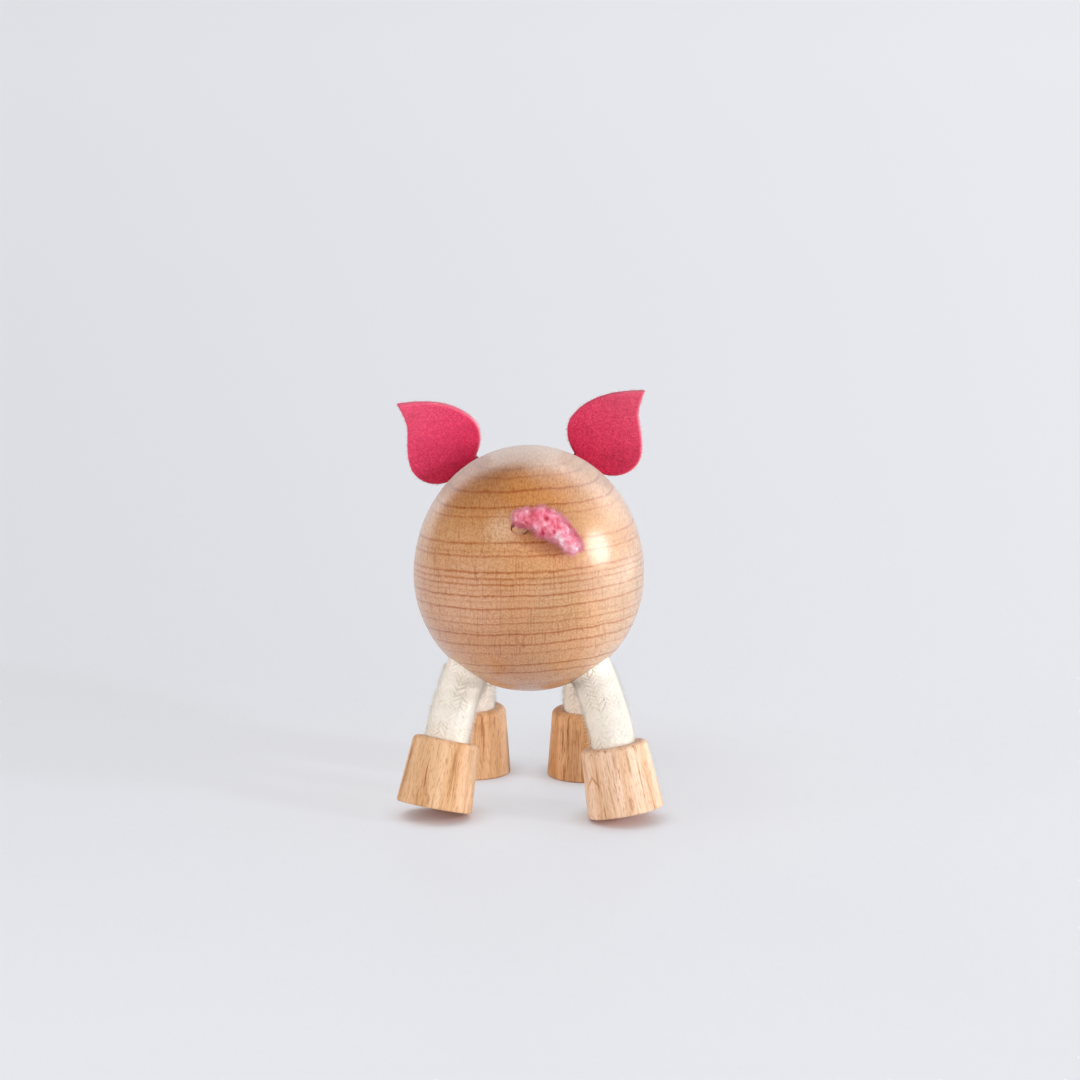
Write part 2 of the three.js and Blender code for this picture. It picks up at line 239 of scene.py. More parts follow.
# Hairs that would come close to the torso are left out, at rest and when the tail wags
HAIR_CLEARANCE = 0.2
WAG_CLEARANCE = 0.75
TAIL_WAG = (-40, -20, 45, 90)
TWIST = 2.4
STRAND_ROWS = 160
STRAND_SIDES = 10
STRAND_APART = 1.02

# Loose hairs: how many, their lengths, depth of their roots and half their width there, how far they stand
# out and are ruffled, and how far they bend
HAIR_RINGS = 3
HAIR_TAPER = 0.55
CORD_HAIRS = 9000
CORD_HAIR_REACH = (0.3, 0.95)
CORD_HAIR_DEPTH = 0.05
CORD_HAIR_RADIUS = 0.02
CORD_HAIR_RISE = (0.15, 0.8)
CORD_HAIR_RUFFLE = 0.6
CORD_HAIR_BOW = 0.4
EAR_HAIRS = 9000
EAR_HAIR_REACH = (0.15, 0.5)
EAR_HAIR_DEPTH = 0.06
EAR_HAIR_RADIUS = 0.022
EAR_HAIR_RISE = (0.2, 1.0)
EAR_HAIR_RUFFLE = 0.55
EAR_HAIR_SHIFT = 0.08
EAR_HAIR_BOW = 0.4
TAIL_HAIRS = 7500
TAIL_HAIR_REACH = (0.4, 1.15)
TAIL_HAIR_DEPTH = 0.1
TAIL_HAIR_RADIUS = 0.024
TAIL_HAIR_COMB = 1.6
TAIL_COMB_SIZE = 0.8
TAIL_COMB_SEEDS = (11, 12, 13)
TAIL_HAIR_RUFFLE = 0.3
TAIL_HAIR_BOW = 0.25
TAIL_HAIR_AWAY = 1.2
TAIL_TONES = (0.15, 0.72)
TAIL_TONE_RUFFLE = 0.1
TAIL_TIP_PALER = 0.12
# At the tail's end, from this share of its length on, the hairs lie along it
TAIL_END = 0.85
TAIL_END_PULL = 2.5
TAIL_END_ROWS = 60

# Growth rings of the torso: height along the rings' normal, and how dark the line is
RING_NORMAL = (-0.06, 0.115, 0.992)
RINGS = [
    (-18.8, 0.35), (-16.0, 0.75), (-14.3, 0.9), (-11.8, 0.5), (-10.05, 0.85), (-7.95, 0.9),
    (-7.3, 0.35), (-5.85, 0.6), (-4.75, 0.3), (-3.1, 0.85), (-1.7, 0.25), (-0.75, 1.0),
    (0.3, 0.3), (1.25, 0.8), (2.3, 0.8), (3.4, 0.9), (6.1, 0.7), (6.95, 0.35),
    (8.3, 0.85), (12.7, 0.55), (14.2, 0.85), (16.75, 0.9), (18.9, 0.5), (20.2, 0.4),
]
RING_REACH = 24.0
RING_WIDTH = 0.42
RING_PROFILE = ((-0.7, 0), (-0.05, 1), (0.2, 1), (0.5, 0))
RINGS_IN_A_RAMP = 8
# Colours of the torso's wood from the lowest ring to the highest, darkened near the top as painted shade;
# and on its lit right side, a paler colour as painted light
TORSO_TONE_AND_SHADE_ZONES = [
    (0.0, (0.56, 0.26, 0.11)), (0.29, (0.60, 0.285, 0.125)), (0.5, (0.62, 0.32, 0.15)),
    (0.69, (0.67, 0.355, 0.16)), (0.77, (0.64, 0.30, 0.107)), (0.83, (0.56, 0.21, 0.044)),
    (0.92, (0.50, 0.18, 0.034)),
]
TORSO_LIT_SIDE = [(0.5, (0.62, 0.325, 0.15)), (0.75, (0.72, 0.38, 0.165))]
# Broad tints of that wood, partly its tone and partly painted light and shade: strength by the place across,
# strength by the ring's height, and colour
# They make it paler at the left and right sides, darker in the middle and more orange near the top
TORSO_TINTS_WITH_LIGHT_AND_SHADE = [
    (
        [(-18, 0), (-14, 0.9), (-9, 0.9), (-3, 0)],
        [(-9, 0), (-5, 1), (4, 1), (8, 0)],
        (0.68, 0.38, 0.22),
    ),
    (
        [(9, 0), (15, 1)],
        [(1, 1), (7, 0)],
        (0.67, 0.43, 0.25),
    ),
    (
        [(-1, 0), (2, 0.7), (8, 0.9), (12, 0)],
        [(-10, 0.5), (-6, 1), (1.5, 1), (5, 0)],
        (0.53, 0.29, 0.135),
    ),
    (
        [(-6, 0), (-2, 0.9), (6, 0.9), (10, 0)],
        [(12, 0), (15, 0.8), (19, 1), (21, 0)],
        (0.72, 0.30, 0.08),
    ),
]
# A pale spot beside the tail's hole, painted as a reflection on the lacquer
REFLECTION_SPOT_ASIDE = -3.4
REFLECTION_SPOT_MIDDLE = 1.0
REFLECTION_SPOT_REACH = 4.6

# Feet: tints, shades of a foot's bands, and marks in the grain by the angle round the foot
FOOT_TINTS = {
    "rear_left": (0.74, 0.46, 0.26), "rear_right": (0.83, 0.56, 0.38),
    "front_left": (0.80, 0.50, 0.285), "front_right": (0.76, 0.44, 0.225),
}
FOOT_SHADES = [
    (0.3, (0.76, 0.62, 0.46)), (0.42, (0.91, 0.85, 0.78)), (0.54, (1.02, 1.02, 1.02)),
    (0.68, (1.1, 1.18, 1.3)),
]
# Eyes of the grain by angle and height, and streaks by angle, lower and upper end
FOOT_EYES = {"rear_right": [(-140, 8.2)]}
FOOT_STREAKS = {
    "rear_left": [(-70, 6.0, 12.2), (-158, 1.0, 11.5), (-100, 0.2, 2.4)],
    "rear_right": [(-94, 8.0, 12.8), (-71, 6.5, 12.4), (-80, 0.2, 4.0)],
    "front_left": [(-105, 6.0, 12.0)],
    "front_right": [(-120, 5.0, 11.0)],
}

# Felt: tint of each ear, and how much paler its loose hairs are
EAR_TINTS = {"left": (0.85, 0.054, 0.148), "right": (0.71, 0.042, 0.112)}
FUZZ_PALER = (0.07, 0.035, 0.04)

# Floor and room
FLOOR_HALF = 6000
FLOOR_LIFT = 0.725
FLOOR_TINT = (0.995, 1.0, 1.045)
CONTACT_REACH = 5
ROOM_SLANT = -0.65
ROOM_LEVELS = [(0.0, 1.1), (0.38, 1.05), (0.52, 0.12), (1.0, 0.12)]

# The view: the photograph's picture is square, and its focal length is counted in its pixels
PICTURE_SIDE = 1080
FOCAL_PIXELS = 5106
SENSOR = 36
VIEW_DISTANCE = 950
VIEW_ELEVATION = 12.61
VIEW_AIM = np.array([2.06, 0, 6.16])


def unit(vector):
    vector = np.asarray(vector, float)
    return vector / np.linalg.norm(vector)


def units(vectors):
    """Many vectors, each brought to length 1."""
    return vectors / np.linalg.norm(vectors, axis=-1)[..., None]


def placed(point):
    """A point about the torso's middle, in metres in the shared frame."""
    return Vector((np.asarray(point, float) + PLACE) * MM)


# Camera
def make_camera():
    pitch = math.radians(VIEW_ELEVATION)
    ahead = np.array([0, math.cos(pitch), -math.sin(pitch)])
    data = bpy.data.cameras.new("camera")
    data.sensor_width = SENSOR
    data.lens = SENSOR * FOCAL_PIXELS / PICTURE_SIDE
    data.clip_start = 0.01
    data.clip_end = 100
    camera = bpy.data.objects.new("camera", data)
    camera.location = placed(VIEW_AIM - VIEW_DISTANCE * ahead)
    camera.rotation_euler = (math.pi / 2 - pitch, 0, 0)
    bpy.context.scene.collection.objects.link(camera)
    bpy.context.scene.camera = camera


# The construction's places
def torso_radius_at(y):
    if y < 0:
        return TORSO_RADIUS * math.sqrt(max(0, 1 - (y / TORSO_REAR_LENGTH) ** 2))
    fall = (y / TORSO_FRONT_LENGTH) ** TORSO_FRONT_POWER
    return TORSO_RADIUS * max(0, 1 - fall) ** (1 / TORSO_FRONT_POWER)


def torso_slope(y):
    step = 0.01
    return (torso_radius_at(y + step) - torso_radius_at(y - step)) / (2 * step)


def on_torso(y, angle):
    """A point on the torso and its normal; the angle is counted from straight up."""
    turn = math.radians(angle)
    outward = np.array([math.sin(turn), 0, math.cos(turn)])
    point = outward * torso_radius_at(y) + np.array([0, y, 0])
    return point, unit(outward - np.array([0, torso_slope(y), 0]))


def hip_frame(foot):
    hip = HIPS[foot["pair"]]
    mouth, _ = on_torso(hip["y"], foot["side"] * (180 - hip["angle"]))
    lean = math.radians(foot["side"] * hip["lean"])
    return mouth, np.array([math.sin(lean), 0, -math.cos(lean)])


def foot_frame(foot):
    """Where a foot's sole has its middle, and how the foot is turned."""
    lean = Matrix.Rotation(math.radians(-foot["side"] * foot["lean"]), 3, "Y")
    pitch = Matrix.Rotation(math.radians(-foot["pitch"]), 3, "X")
    turn = np.array(pitch @ lean)
    tilt = math.acos(min(1, turn[2, 2]))
    drop = max(
        (FOOT_BOTTOM_RADIUS - FOOT_BOTTOM_BREAK) * math.sin(tilt),
        FOOT_BOTTOM_RADIUS * math.sin(tilt) - FOOT_BOTTOM_BREAK * math.cos(tilt),
    )
    mouth, _ = hip_frame(foot)
    step = np.array([foot["side"] * foot["out"], foot["forward"], 0])
    base = mouth * (1, 1, 0) + step + np.array([0, 0, drop - TORSO_HEIGHT])
    return base, turn


def frame_along(origin, z_axis, y_hint):
    z = unit(z_axis)
    x = unit(np.cross(y_hint, z))
    return np.column_stack([x, np.cross(z, x), z]), np.asarray(origin, float)


def ear_frame(ear):
    root, _ = on_torso(TORSO_FLAT - EAR_SETBACK, ear["side"] * ear["angle"])
    lean = math.radians(ear["lean"])
    along = np.array([ear["side"] * math.sin(lean), 0, math.cos(lean)])
    inward = np.array([-ear["side"] * math.cos(lean), 0, math.sin(lean)])
    return np.column_stack([inward, along, np.cross(inward, along)]), root


def tail_frame():
    y = -TORSO_REAR_LENGTH * math.cos(math.radians(TAIL_HOLE_RISE))
    angle = math.degrees(math.asin(TAIL_HOLE_SIDE / torso_radius_at(y)))
    point, normal = on_torso(y, angle)
    return frame_along(point, normal, (0, 0, 1))


# Curves
def bezier(points, share):
    share = np.asarray(share, float)[:, None]
    a, b, c, d = (np.asarray(p, float) for p in points)
    rest = 1 - share
    return a * rest**3 + 3 * b * rest**2 * share + 3 * c * rest * share**2 + d * share**3


def joined(parts):
    """Points along straight and curved parts in turn, each given by 2 or 4 points."""
    line = []
    for part in parts:
        share = np.linspace(0, 1, CURVE_STEPS)
        if len(part) == 2:
            start, end = (np.asarray(p, float) for p in part)
            found = start + (end - start) * share[:, None]
        else:
            found = bezier(part, share)
        line.extend(found[1:] if line else found)
    return np.array(line)


def lengths_along(line):
    return np.concatenate([[0], np.cumsum(np.linalg.norm(np.diff(line, axis=0), axis=1))])


def spaced(line, stations):
    """Points of a line at given lengths along it."""
    along = lengths_along(line)
    return np.column_stack([np.interp(stations, along, values) for values in line.T])


def sampled(line, stations):
    """Points of a line at given lengths along it, with a frame at each that doesn't twist."""
    points = spaced(line, stations)
    nearby = 0.05
    tangents = units(spaced(line, stations + nearby) - spaced(line, stations - nearby))
    sides = np.zeros_like(points)
    side = unit(np.cross((0, 1, 0), tangents[0]))
    for i, tangent in enumerate(tangents):
        side = unit(side - tangent * (side @ tangent))
        sides[i] = side
    return points, tangents, sides, np.cross(tangents, sides)


def point_at(line, station):
    return spaced(line, [station])[0]


def leg_line(foot, inset):
    mouth, down = hip_frame(foot)
    base, turn = foot_frame(foot)
    axis = turn[:, 2]
    top = base + FOOT_HEIGHT * axis
    reach = np.linalg.norm(top - mouth) / 3
    held = SOCKET_DEPTH - REST_GAP - inset
    return joined([
        (mouth - held * down, mouth),
        (mouth, mouth + reach * down, top + reach * axis, top),
        (top, top - held * axis),
    ])


def tail_line(start):
    turn, origin = tail_frame()

    def place(point):
        return turn @ (np.array(point) + (0, TAIL_WIRE_OFFSET, 0)) + origin

    parts = [(place((0, 0, start)), place((0, 0, TAIL_STRAIGHT)))]
    parts += [[place(p) for p in points] for points in TAIL_CURVES]
    return joined(parts)


# Meshes
def turns_of(count):
    """Angles of a number of points round a circle."""
    return np.arange(count) * 2 * math.pi / count


def rings_round(sides, others, turns):
    """Directions out of a line at each station and each angle."""
    return sides[:, None] * np.cos(turns)[None, :, None] + others[:, None] * np.sin(turns)[None, :, None]


def swung(sides, others, turn):
    """Directions out of a line, with one angle for each station."""
    return sides * np.cos(turn)[:, None] + others * np.sin(turn)[:, None]


def lathe(profile, sides):
    """A turned shape about Z from (radius, height) pairs that start and end on the axis."""
    points = []
    rings = []
    turns = turns_of(sides)
    for radius, height in profile:
        first = len(points)
        if radius == 0:
            points.append((0, 0, height))
            rings.append([first] * sides)
        else:
            points.extend((radius * math.cos(t), radius * math.sin(t), height) for t in turns)
            rings.append(list(range(first, first + sides)))
    faces = []
    for low, high in zip(rings, rings[1:]):
        for i in range(sides):
            j = (i + 1) % sides
            corners = [low[i], low[j], high[j], high[i]]
            face = list(dict.fromkeys(corners))
            if len(face) > 2:
                faces.append(face)
    return np.array(points), faces


def arc(centre, radius, start, end, steps):
    """Points of an arc in a profile, from one angle to another in degrees."""
    turns = np.radians(np.linspace(start, end, steps))
    return [(centre[0] + radius * math.cos(t), centre[1] + radius * math.sin(t)) for t in turns]


def grid_faces(rows, columns, first=0, flip=False):
    """Quads of a tube's grid, closed round each row."""
    faces = []
    for i in range(rows - 1):
        for j in range(columns):
            k = (j + 1) % columns
            a, b = first + i * columns, first + (i + 1) * columns
            face = (a + j, a + k, b + k, b + j)
            faces.append(face[::-1] if flip else face)
    return faces


def tube_faces(rows, columns):
    """Faces of a tube with both ends closed."""
    faces = grid_faces(rows, columns)
    faces.append(tuple(range(columns))[::-1])
    faces.append(tuple(range((rows - 1) * columns, rows * columns)))
    return faces


def make_object(name, points, faces, finish, place=PLACE):
    """An object from points in millimetres, with its place in its mesh."""
    mesh = bpy.data.meshes.new(name)
    mesh.from_pydata(((np.asarray(points) + place) * MM).tolist(), [], faces)
    mesh.update()
    if finish:
        mesh.materials.append(finish)
    made = bpy.data.objects.new(name, mesh)
    smooth(made)
    bpy.context.scene.collection.objects.link(made)
    return made


def smooth(piece):
    polygons = piece.data.polygons
    polygons.foreach_set("use_smooth", [True] * len(polygons))


def sharpen(piece, angle):
    """Keeps edges sharp that turn by more than an angle in degrees."""
    piece.data.set_sharp_from_angle(angle=math.radians(angle))


def make_turned(name, profile, sides, turn, origin, finish):
    """A turned piece from its profile, with its axis set by a frame."""
    points, faces = lathe(profile, sides)
    return make_object(name, turned(points, turn, origin), faces, finish)


def set_values(piece, name, values):
    """A number or a vector for each point, for the materials to read."""
    values = np.asarray(values, np.float32)
    kind = "FLOAT" if values.ndim == 1 else "FLOAT_VECTOR"
    made = piece.data.attributes.new(name, kind, "POINT")
    made.data.foreach_set("value" if values.ndim == 1 else "vector", values.ravel())


def set_normals(piece, normals):
    """Shades each point as if it faced the given way; a zero keeps the mesh's own normal."""
    piece.data.normals_split_custom_set_from_vertices([tuple(n) for n in normals])


def turned(points, turn, origin):
    return np.asarray(points) @ np.asarray(turn).T + origin


def combined(shapes):
    points = []
    faces = []
    for shape_points, shape_faces in shapes:
        first = sum(len(p) for p in points)
        points.append(np.asarray(shape_points))
        faces += [[first + i for i in face] for face in shape_faces]
    return np.vstack(points), faces


def carve(piece, shapes):
    """Cuts closed shapes, given in millimetres about the torso's middle, out of a piece."""
    tool = make_object("tool", *combined(shapes), None)
    cut = piece.modifiers.new("cut", "BOOLEAN")
    cut.object = tool
    cut.operation = "DIFFERENCE"
    cut.solver = "EXACT"
    graph = bpy.context.evaluated_depsgraph_get()
    carved = bpy.data.meshes.new_from_object(piece.evaluated_get(graph))
    piece.modifiers.clear()
    old = piece.data
    carved.name = old.name
    piece.data = carved
    bpy.data.meshes.remove(old)
    bpy.data.objects.remove(tool)


def roughness_of(points, scale, seed):
    """Smooth noise from -1 to 1 at points in millimetres; scale is the size of its lumps."""
    shift = Vector((seed * 17.3, seed * 5.1, seed * 9.7))
    return np.array([noise.noise(Vector(p) / scale + shift) for p in points])


def layered(points, layers, seed, seed_step):
    """Layers of noise, each from its size and strength, added up."""
    total = 0
    for number, (size, strength) in enumerate(layers):
        total = total + strength * roughness_of(points, size, seed + seed_step * number)
    return total


def fibres(roots, directions, reach, radius, bow):
    """Thin tapering hairs, each a closed solid of three sides; bow bends each one's free end."""
    rings = HAIR_RINGS
    count = len(roots)
    directions = units(directions)
    side = units(np.cross(directions, ANY_WAY))
    other = np.cross(directions, side)
    points = []
    shares = []
    for ring in range(rings):
        share = ring / rings
        middle = roots + directions * (reach * share)[:, None] + bow * (reach * share**2)[:, None]
        width = radius * (1 - HAIR_TAPER * share)
        for corner in range(3):
            turn = corner * 2 * math.pi / 3
            offset = side * math.cos(turn) + other * math.sin(turn)
            points.append(middle + offset * width)
            shares.append(np.full(count, share))
    points.append(roots + directions * reach[:, None] + bow * reach[:, None])
    shares.append(np.ones(count))
    each = 3 * rings + 1
    points = np.stack(points, axis=1).reshape(-1, 3)
    shares = np.stack(shares, axis=1).ravel()
    pattern = [(0, 2, 1)]
    for ring in range(rings - 1):
        for i in range(3):
            j = (i + 1) % 3
            pattern.append((3 * ring + i, 3 * ring + j, 3 * ring + 3 + j, 3 * ring + 3 + i))
    for i in range(3):
        pattern.append((3 * rings - 3 + i, 3 * rings - 3 + (i + 1) % 3, 3 * rings))
    faces = [[each * n + i for i in face] for n in range(count) for face in pattern]
    return points, faces, shares, each


# Materials
class Nodes:
    """Short calls that build a tree of nodes."""

    def __init__(self, tree):
        self.tree = tree

    def fill(self, socket, value):
        if isinstance(value, bpy.types.NodeSocket):
            self.tree.links.new(value, socket)
        else:
            socket.default_value = value

    def add(self, kind, inputs=None, **settings):
        made = self.tree.nodes.new("ShaderNode" + kind)
        for key, value in settings.items():
            setattr(made, key, value)
        for key, value in (inputs or {}).items():
            self.fill(made.inputs[key], value)
        return made

    def maths(self, operation, *values):
        return self.add("Math", dict(enumerate(values)), operation=operation).outputs[0]

    def spread(self, value, low, high, to_low=0.0, to_high=1.0):
        """A value held between two limits and moved to another range."""
        inputs = {"Value": value, "From Min": low, "From Max": high, "To Min": to_low, "To Max": to_high}
        return self.add("MapRange", inputs).outputs[0]

    def ramp(self, factor, stops):
        """A colour ramp from (place, colour) pairs."""
        made = self.add("ValToRGB", {"Fac": factor})
        elements = made.color_ramp.elements
        while len(elements) < len(stops):
            elements.new(1)
        for element, (place, colour) in zip(elements, stops):
            element.position = place
            element.color = (*colour, 1)
        return made.outputs["Color"]


class Paint(Nodes):
    """A material with its main shader, and short calls for its colours."""

    def __init__(self, name, **shader):
        self.material = bpy.data.materials.new(name)
        self.material.use_nodes = True
        super().__init__(self.material.node_tree)
        self.shader = self.tree.nodes["Principled BSDF"]
        self.colour = None
        for key, value in shader.items():
            self.give(key.replace("_", " ").title().replace("Ior", "IOR"), value)

    def give(self, socket, value):
        self.fill(self.shader.inputs[socket], value)

    def share_with(self, share, shader):
        """Shows a share of another shader in place of the main one."""
        both = self.add("MixShader", {0: share, 1: self.shader.outputs[0], 2: shader}).outputs[0]
        self.fill(self.tree.nodes["Material Output"].inputs["Surface"], both)

    def object_place(self, offset=(0, 0, 0)):
        """Object coordinates in millimetres, moved by an offset."""
        place = self.add("TexCoord").outputs["Object"]
        return self.stretched(place, [1 / MM] * 3, offset)

    def stretched(self, vector, scale, offset=(0, 0, 0)):
        inputs = {"Vector": vector, "Scale": scale, "Location": offset}
        return self.add("Mapping", inputs).outputs["Vector"]

    def value(self, name, output="Fac"):
        return self.add("Attribute", attribute_name=name).outputs[output]

    def noise(self, vector, scale=1.0, detail=2.0, rough=0.5):
        inputs = {"Vector": vector, "Scale": scale, "Detail": detail, "Roughness": rough}
        return self.add("TexNoise", inputs).outputs["Fac"]

    def grain(self, place, stretch, detail, rough=0.5):
        """Noise that is stretched along the axes."""
        return self.noise(self.stretched(place, stretch), detail=detail, rough=rough)

    def vector_maths(self, operation, first, second, output="Value"):
        return self.add("VectorMath", {0: first, 1: second}, operation=operation).outputs[output]

    def mix(self, factor, first, second, blend="MIX"):
        made = self.add("Mix", data_type="RGBA", blend_type=blend)
        sockets = [s for s in made.inputs if s.enabled]
        for socket, value in zip(sockets, (factor, first, second)):
            self.fill(socket, value)
        return next(s for s in made.outputs if s.enabled)

    def lay(self, share, colour, blend="MIX"):
        """Lays a share of a colour over the paint's own."""
        self.colour = self.mix(share, self.colour, (*colour, 1), blend)

    def stain(self, share, colour):
        """Darkens the paint by a share of a clear stain."""
        self.lay(share, colour, "MULTIPLY")

    def finished(self, height, strength, distance):
        """The material with the paint's colour and a fine bump."""
        self.give("Base Color", self.colour)
        inputs = {"Height": height, "Strength": strength, "Distance": distance * MM}
        self.give("Normal", self.add("Bump", inputs).outputs["Normal"])
        return self.material


def grey(value):
    return (value, value, value)


def ring_place(height):
    """A height along the rings' normal as a share of the ramps' whole reach."""
    return (height + RING_REACH) / (2 * RING_REACH)


def ring_lines(paint, share):
    """How dark the ring lines are: a slow rise and a quick fall at each."""
    lines = None
    for first in range(0, len(RINGS), RINGS_IN_A_RAMP):
        stops = []
        for ring, depth in RINGS[first:first + RINGS_IN_A_RAMP]:
            for offset, level in RING_PROFILE:
                stops.append((ring_place(ring + offset * RING_WIDTH), grey(level * depth)))
        found = paint.ramp(share, stops)
        lines = paint.maths("MAXIMUM", lines, found) if lines else found
    return lines


def torso_window(paint, share, stops):
    """A strength that changes along a length, from (length, strength) pairs."""
    return paint.ramp(share, [(ring_place(at), grey(level)) for at, level in stops])


def torso_wood():
    """Lacquered maple with its grain along the torso: rings at its ends, long lines at its sides."""
    paint = Paint(
        "lacquered_maple", roughness=0.5, specular_ior_level=0.25, coat_weight=1.0, coat_roughness=0.24,
    )
    place = paint.object_place(offset=tuple(-PLACE))
    slow = paint.grain(place, (0.05, 0.02, 0.05), 1)
    wavy = paint.grain(place, (0.4, 0.05, 0.2), 3)
    level = paint.vector_maths("DOT_PRODUCT", place, unit(RING_NORMAL))
    for wave, height in ((slow, 1.6), (wavy, 0.6)):
        level = paint.maths("MULTIPLY_ADD", paint.maths("SUBTRACT", wave, 0.5), height, level)
    ring_share = paint.spread(level, -RING_REACH, RING_REACH)
    lines = ring_lines(paint, ring_share)
    broken = paint.grain(place, (0.8, 0.1, 0.3), 2)
    lines = paint.maths("MULTIPLY", lines, paint.spread(broken, 0.3, 0.55, 0.6, 1.0))
    aside = paint.add("SeparateXYZ", {0: place}).outputs["X"]
    aside_share = paint.spread(aside, -RING_REACH, RING_REACH)
    # Painted shade and light: ring colours darkened near the top, mixed towards a paler colour on the lit
    # right side
    zones, paler = paint.ramp(ring_share, TORSO_TONE_AND_SHADE_ZONES), paint.ramp(ring_share, TORSO_LIT_SIDE)
    paint.colour = paint.mix(paint.spread(aside, -4, 6, 0.0, 0.65), zones, paler)
    cloud = paint.grain(place, (0.12, 0.03, 0.35), 3)
    paint.lay(paint.spread(cloud, 0.3, 0.7, 0, 0.45), (0.68, 0.36, 0.175))
    # Broad tints that are partly painted light and shade
    for across, up, tint in TORSO_TINTS_WITH_LIGHT_AND_SHADE:
        windows = torso_window(paint, aside_share, across), torso_window(paint, ring_share, up)
        paint.lay(paint.maths("MULTIPLY", *windows), tint)
    # Painted reflection: a pale spot beside the tail's hole
    turn, origin = tail_frame()
    apart = paint.vector_maths("DISTANCE", place, origin + REFLECTION_SPOT_ASIDE * turn[:, 0])
    painted_reflection = paint.spread(apart, REFLECTION_SPOT_MIDDLE, REFLECTION_SPOT_REACH, 0.65, 0.0)
    paint.lay(painted_reflection, (0.84, 0.56, 0.36))
    sand = paint.grain(place, (3.0, 0.4, 3.0), 2, rough=0.7)
    paint.stain(paint.spread(sand, 0.4, 0.64, 0.0, 0.75), (0.70, 0.54, 0.42))
    rays = paint.grain(place, (3.4, 0.4, 0.22), 1)
    paint.stain(paint.spread(rays, 0.56, 0.74, 0.0, 0.5), (0.60, 0.42, 0.30))
    paint.stain(lines, (0.62, 0.27, 0.02))
    return paint.finished(paint.grain(place, (1.6, 1.6, 1.6), 2), 0.06, 0.1)


def foot_place(paint, place, angle):
    """Distance to the side of a line up the foot, the height, and how much a spot faces that way."""
    turn = math.radians(angle)
    aside = paint.vector_maths("DOT_PRODUCT", place, (-math.sin(turn), math.cos(turn), 0))
    out = paint.vector_maths("DOT_PRODUCT", place, (math.cos(turn), math.sin(turn), 0))
    up = paint.add("SeparateXYZ", {0: place}).outputs["Z"]
    return paint.maths("ABSOLUTE", aside), up, paint.spread(out, 3.0, 4.5)


def grain_eye(paint, place, angle, height):
    """A pointed arch where a ring comes out at the foot's side."""
    aside, up, facing = foot_place(paint, place, angle)
    level = paint.maths("ADD", paint.maths("SUBTRACT", up, height), aside)
    line = paint.spread(paint.maths("ABSOLUTE", paint.maths("ADD", level, 0.35)), 0.12, 0.5, 1.0, 0.0)
    ends = paint.spread(aside, 1.0, 1.9, 1.0, 0.0)
    return paint.maths("MULTIPLY", paint.maths("MULTIPLY", line, ends), facing)


def grain_streak(paint, place, angle, low, high, wander):
    """A dark streak up the foot's side that wanders a little."""
    aside, up, facing = foot_place(paint, place, angle)
    aside = paint.maths("ADD", aside, paint.maths("MULTIPLY", paint.maths("SUBTRACT", wander, 0.5), 0.5))
    line = paint.spread(aside, 0.05, 0.4, 1.0, 0.0)
    middle, half = (low + high) / 2, (high - low) / 2
    apart = paint.maths("ABSOLUTE", paint.maths("SUBTRACT", up, middle))
    ends = paint.spread(apart, half * 0.4, half, 1.0, 0.0)
    return paint.maths("MULTIPLY", paint.maths("MULTIPLY", line, ends), facing)


def foot_wood(foot_name, seed):
    """Oiled beech with its grain along the foot; each foot shows another part of the plank."""
    tint = FOOT_TINTS[foot_name]
    paint = Paint(
        f"beech_{foot_name}", roughness=0.55, coat_weight=0.15, coat_roughness=0.4, specular_ior_level=0.25,
    )
    own = paint.object_place()
    place = paint.object_place(offset=(seed * 31.0, seed * 13.0, seed * 7.0))
    bend = paint.grain(place, (0.08, 0.08, 0.06), 1)
    shifted = paint.vector_maths("ADD", place, bend, "Vector")
    bands = paint.grain(shifted, (0.55, 0.2, 0.02), 4, rough=0.6)
    shades = [(at, [t * s for t, s in zip(tint, shade)]) for at, shade in FOOT_SHADES]
    paint.colour = paint.ramp(bands, shades)
    lines = paint.grain(shifted, (1.5, 0.6, 0.035), 1)
    near = paint.maths("ABSOLUTE", paint.maths("SUBTRACT", lines, 0.5))
    paint.stain(paint.spread(near, 0.0, 0.025, 0.6, 0.0), (0.66, 0.46, 0.30))
    fleck = paint.grain(place, (4.6, 4.6, 0.6), 1, rough=0.6)
    paint.stain(paint.spread(fleck, 0.54, 0.70, 0, 0.65), (0.64, 0.44, 0.30))
    streak = paint.grain(shifted, (1.0, 1.0, 0.07), 2)
    paint.stain(paint.spread(streak, 0.62, 0.72, 0, 0.85), (0.58, 0.36, 0.20))
    for angle, low, high in FOOT_STREAKS.get(foot_name, []):
        mark = grain_streak(paint, own, angle, low, high, fleck)
        paint.stain(paint.maths("MULTIPLY", mark, 0.7), (0.55, 0.36, 0.22))
    for angle, height in FOOT_EYES.get(foot_name, []):
        mark = grain_eye(paint, own, angle, height)
        paint.stain(paint.maths("MULTIPLY", mark, 0.75), (0.68, 0.45, 0.26))
    return paint.finished(fleck, 0.2, 0.1)


def plain_wood():
    """End-grain wood of the small pegs that are let into holes."""
    paint = Paint("peg_wood", roughness=0.7)
    place = paint.object_place()
    rings = paint.grain(place, (0.9, 0.3, 0.9), 2)
    paint.colour = paint.ramp(rings, [(0.35, (0.66, 0.36, 0.17)), (0.65, (0.86, 0.56, 0.32))])
    pores = paint.grain(place, (5.0, 5.0, 5.0), 1)
    paint.lay(paint.spread(pores, 0.6, 0.72, 0, 0.7), (0.22, 0.10, 0.05))
    return paint.finished(pores, 0.4, 0.1)


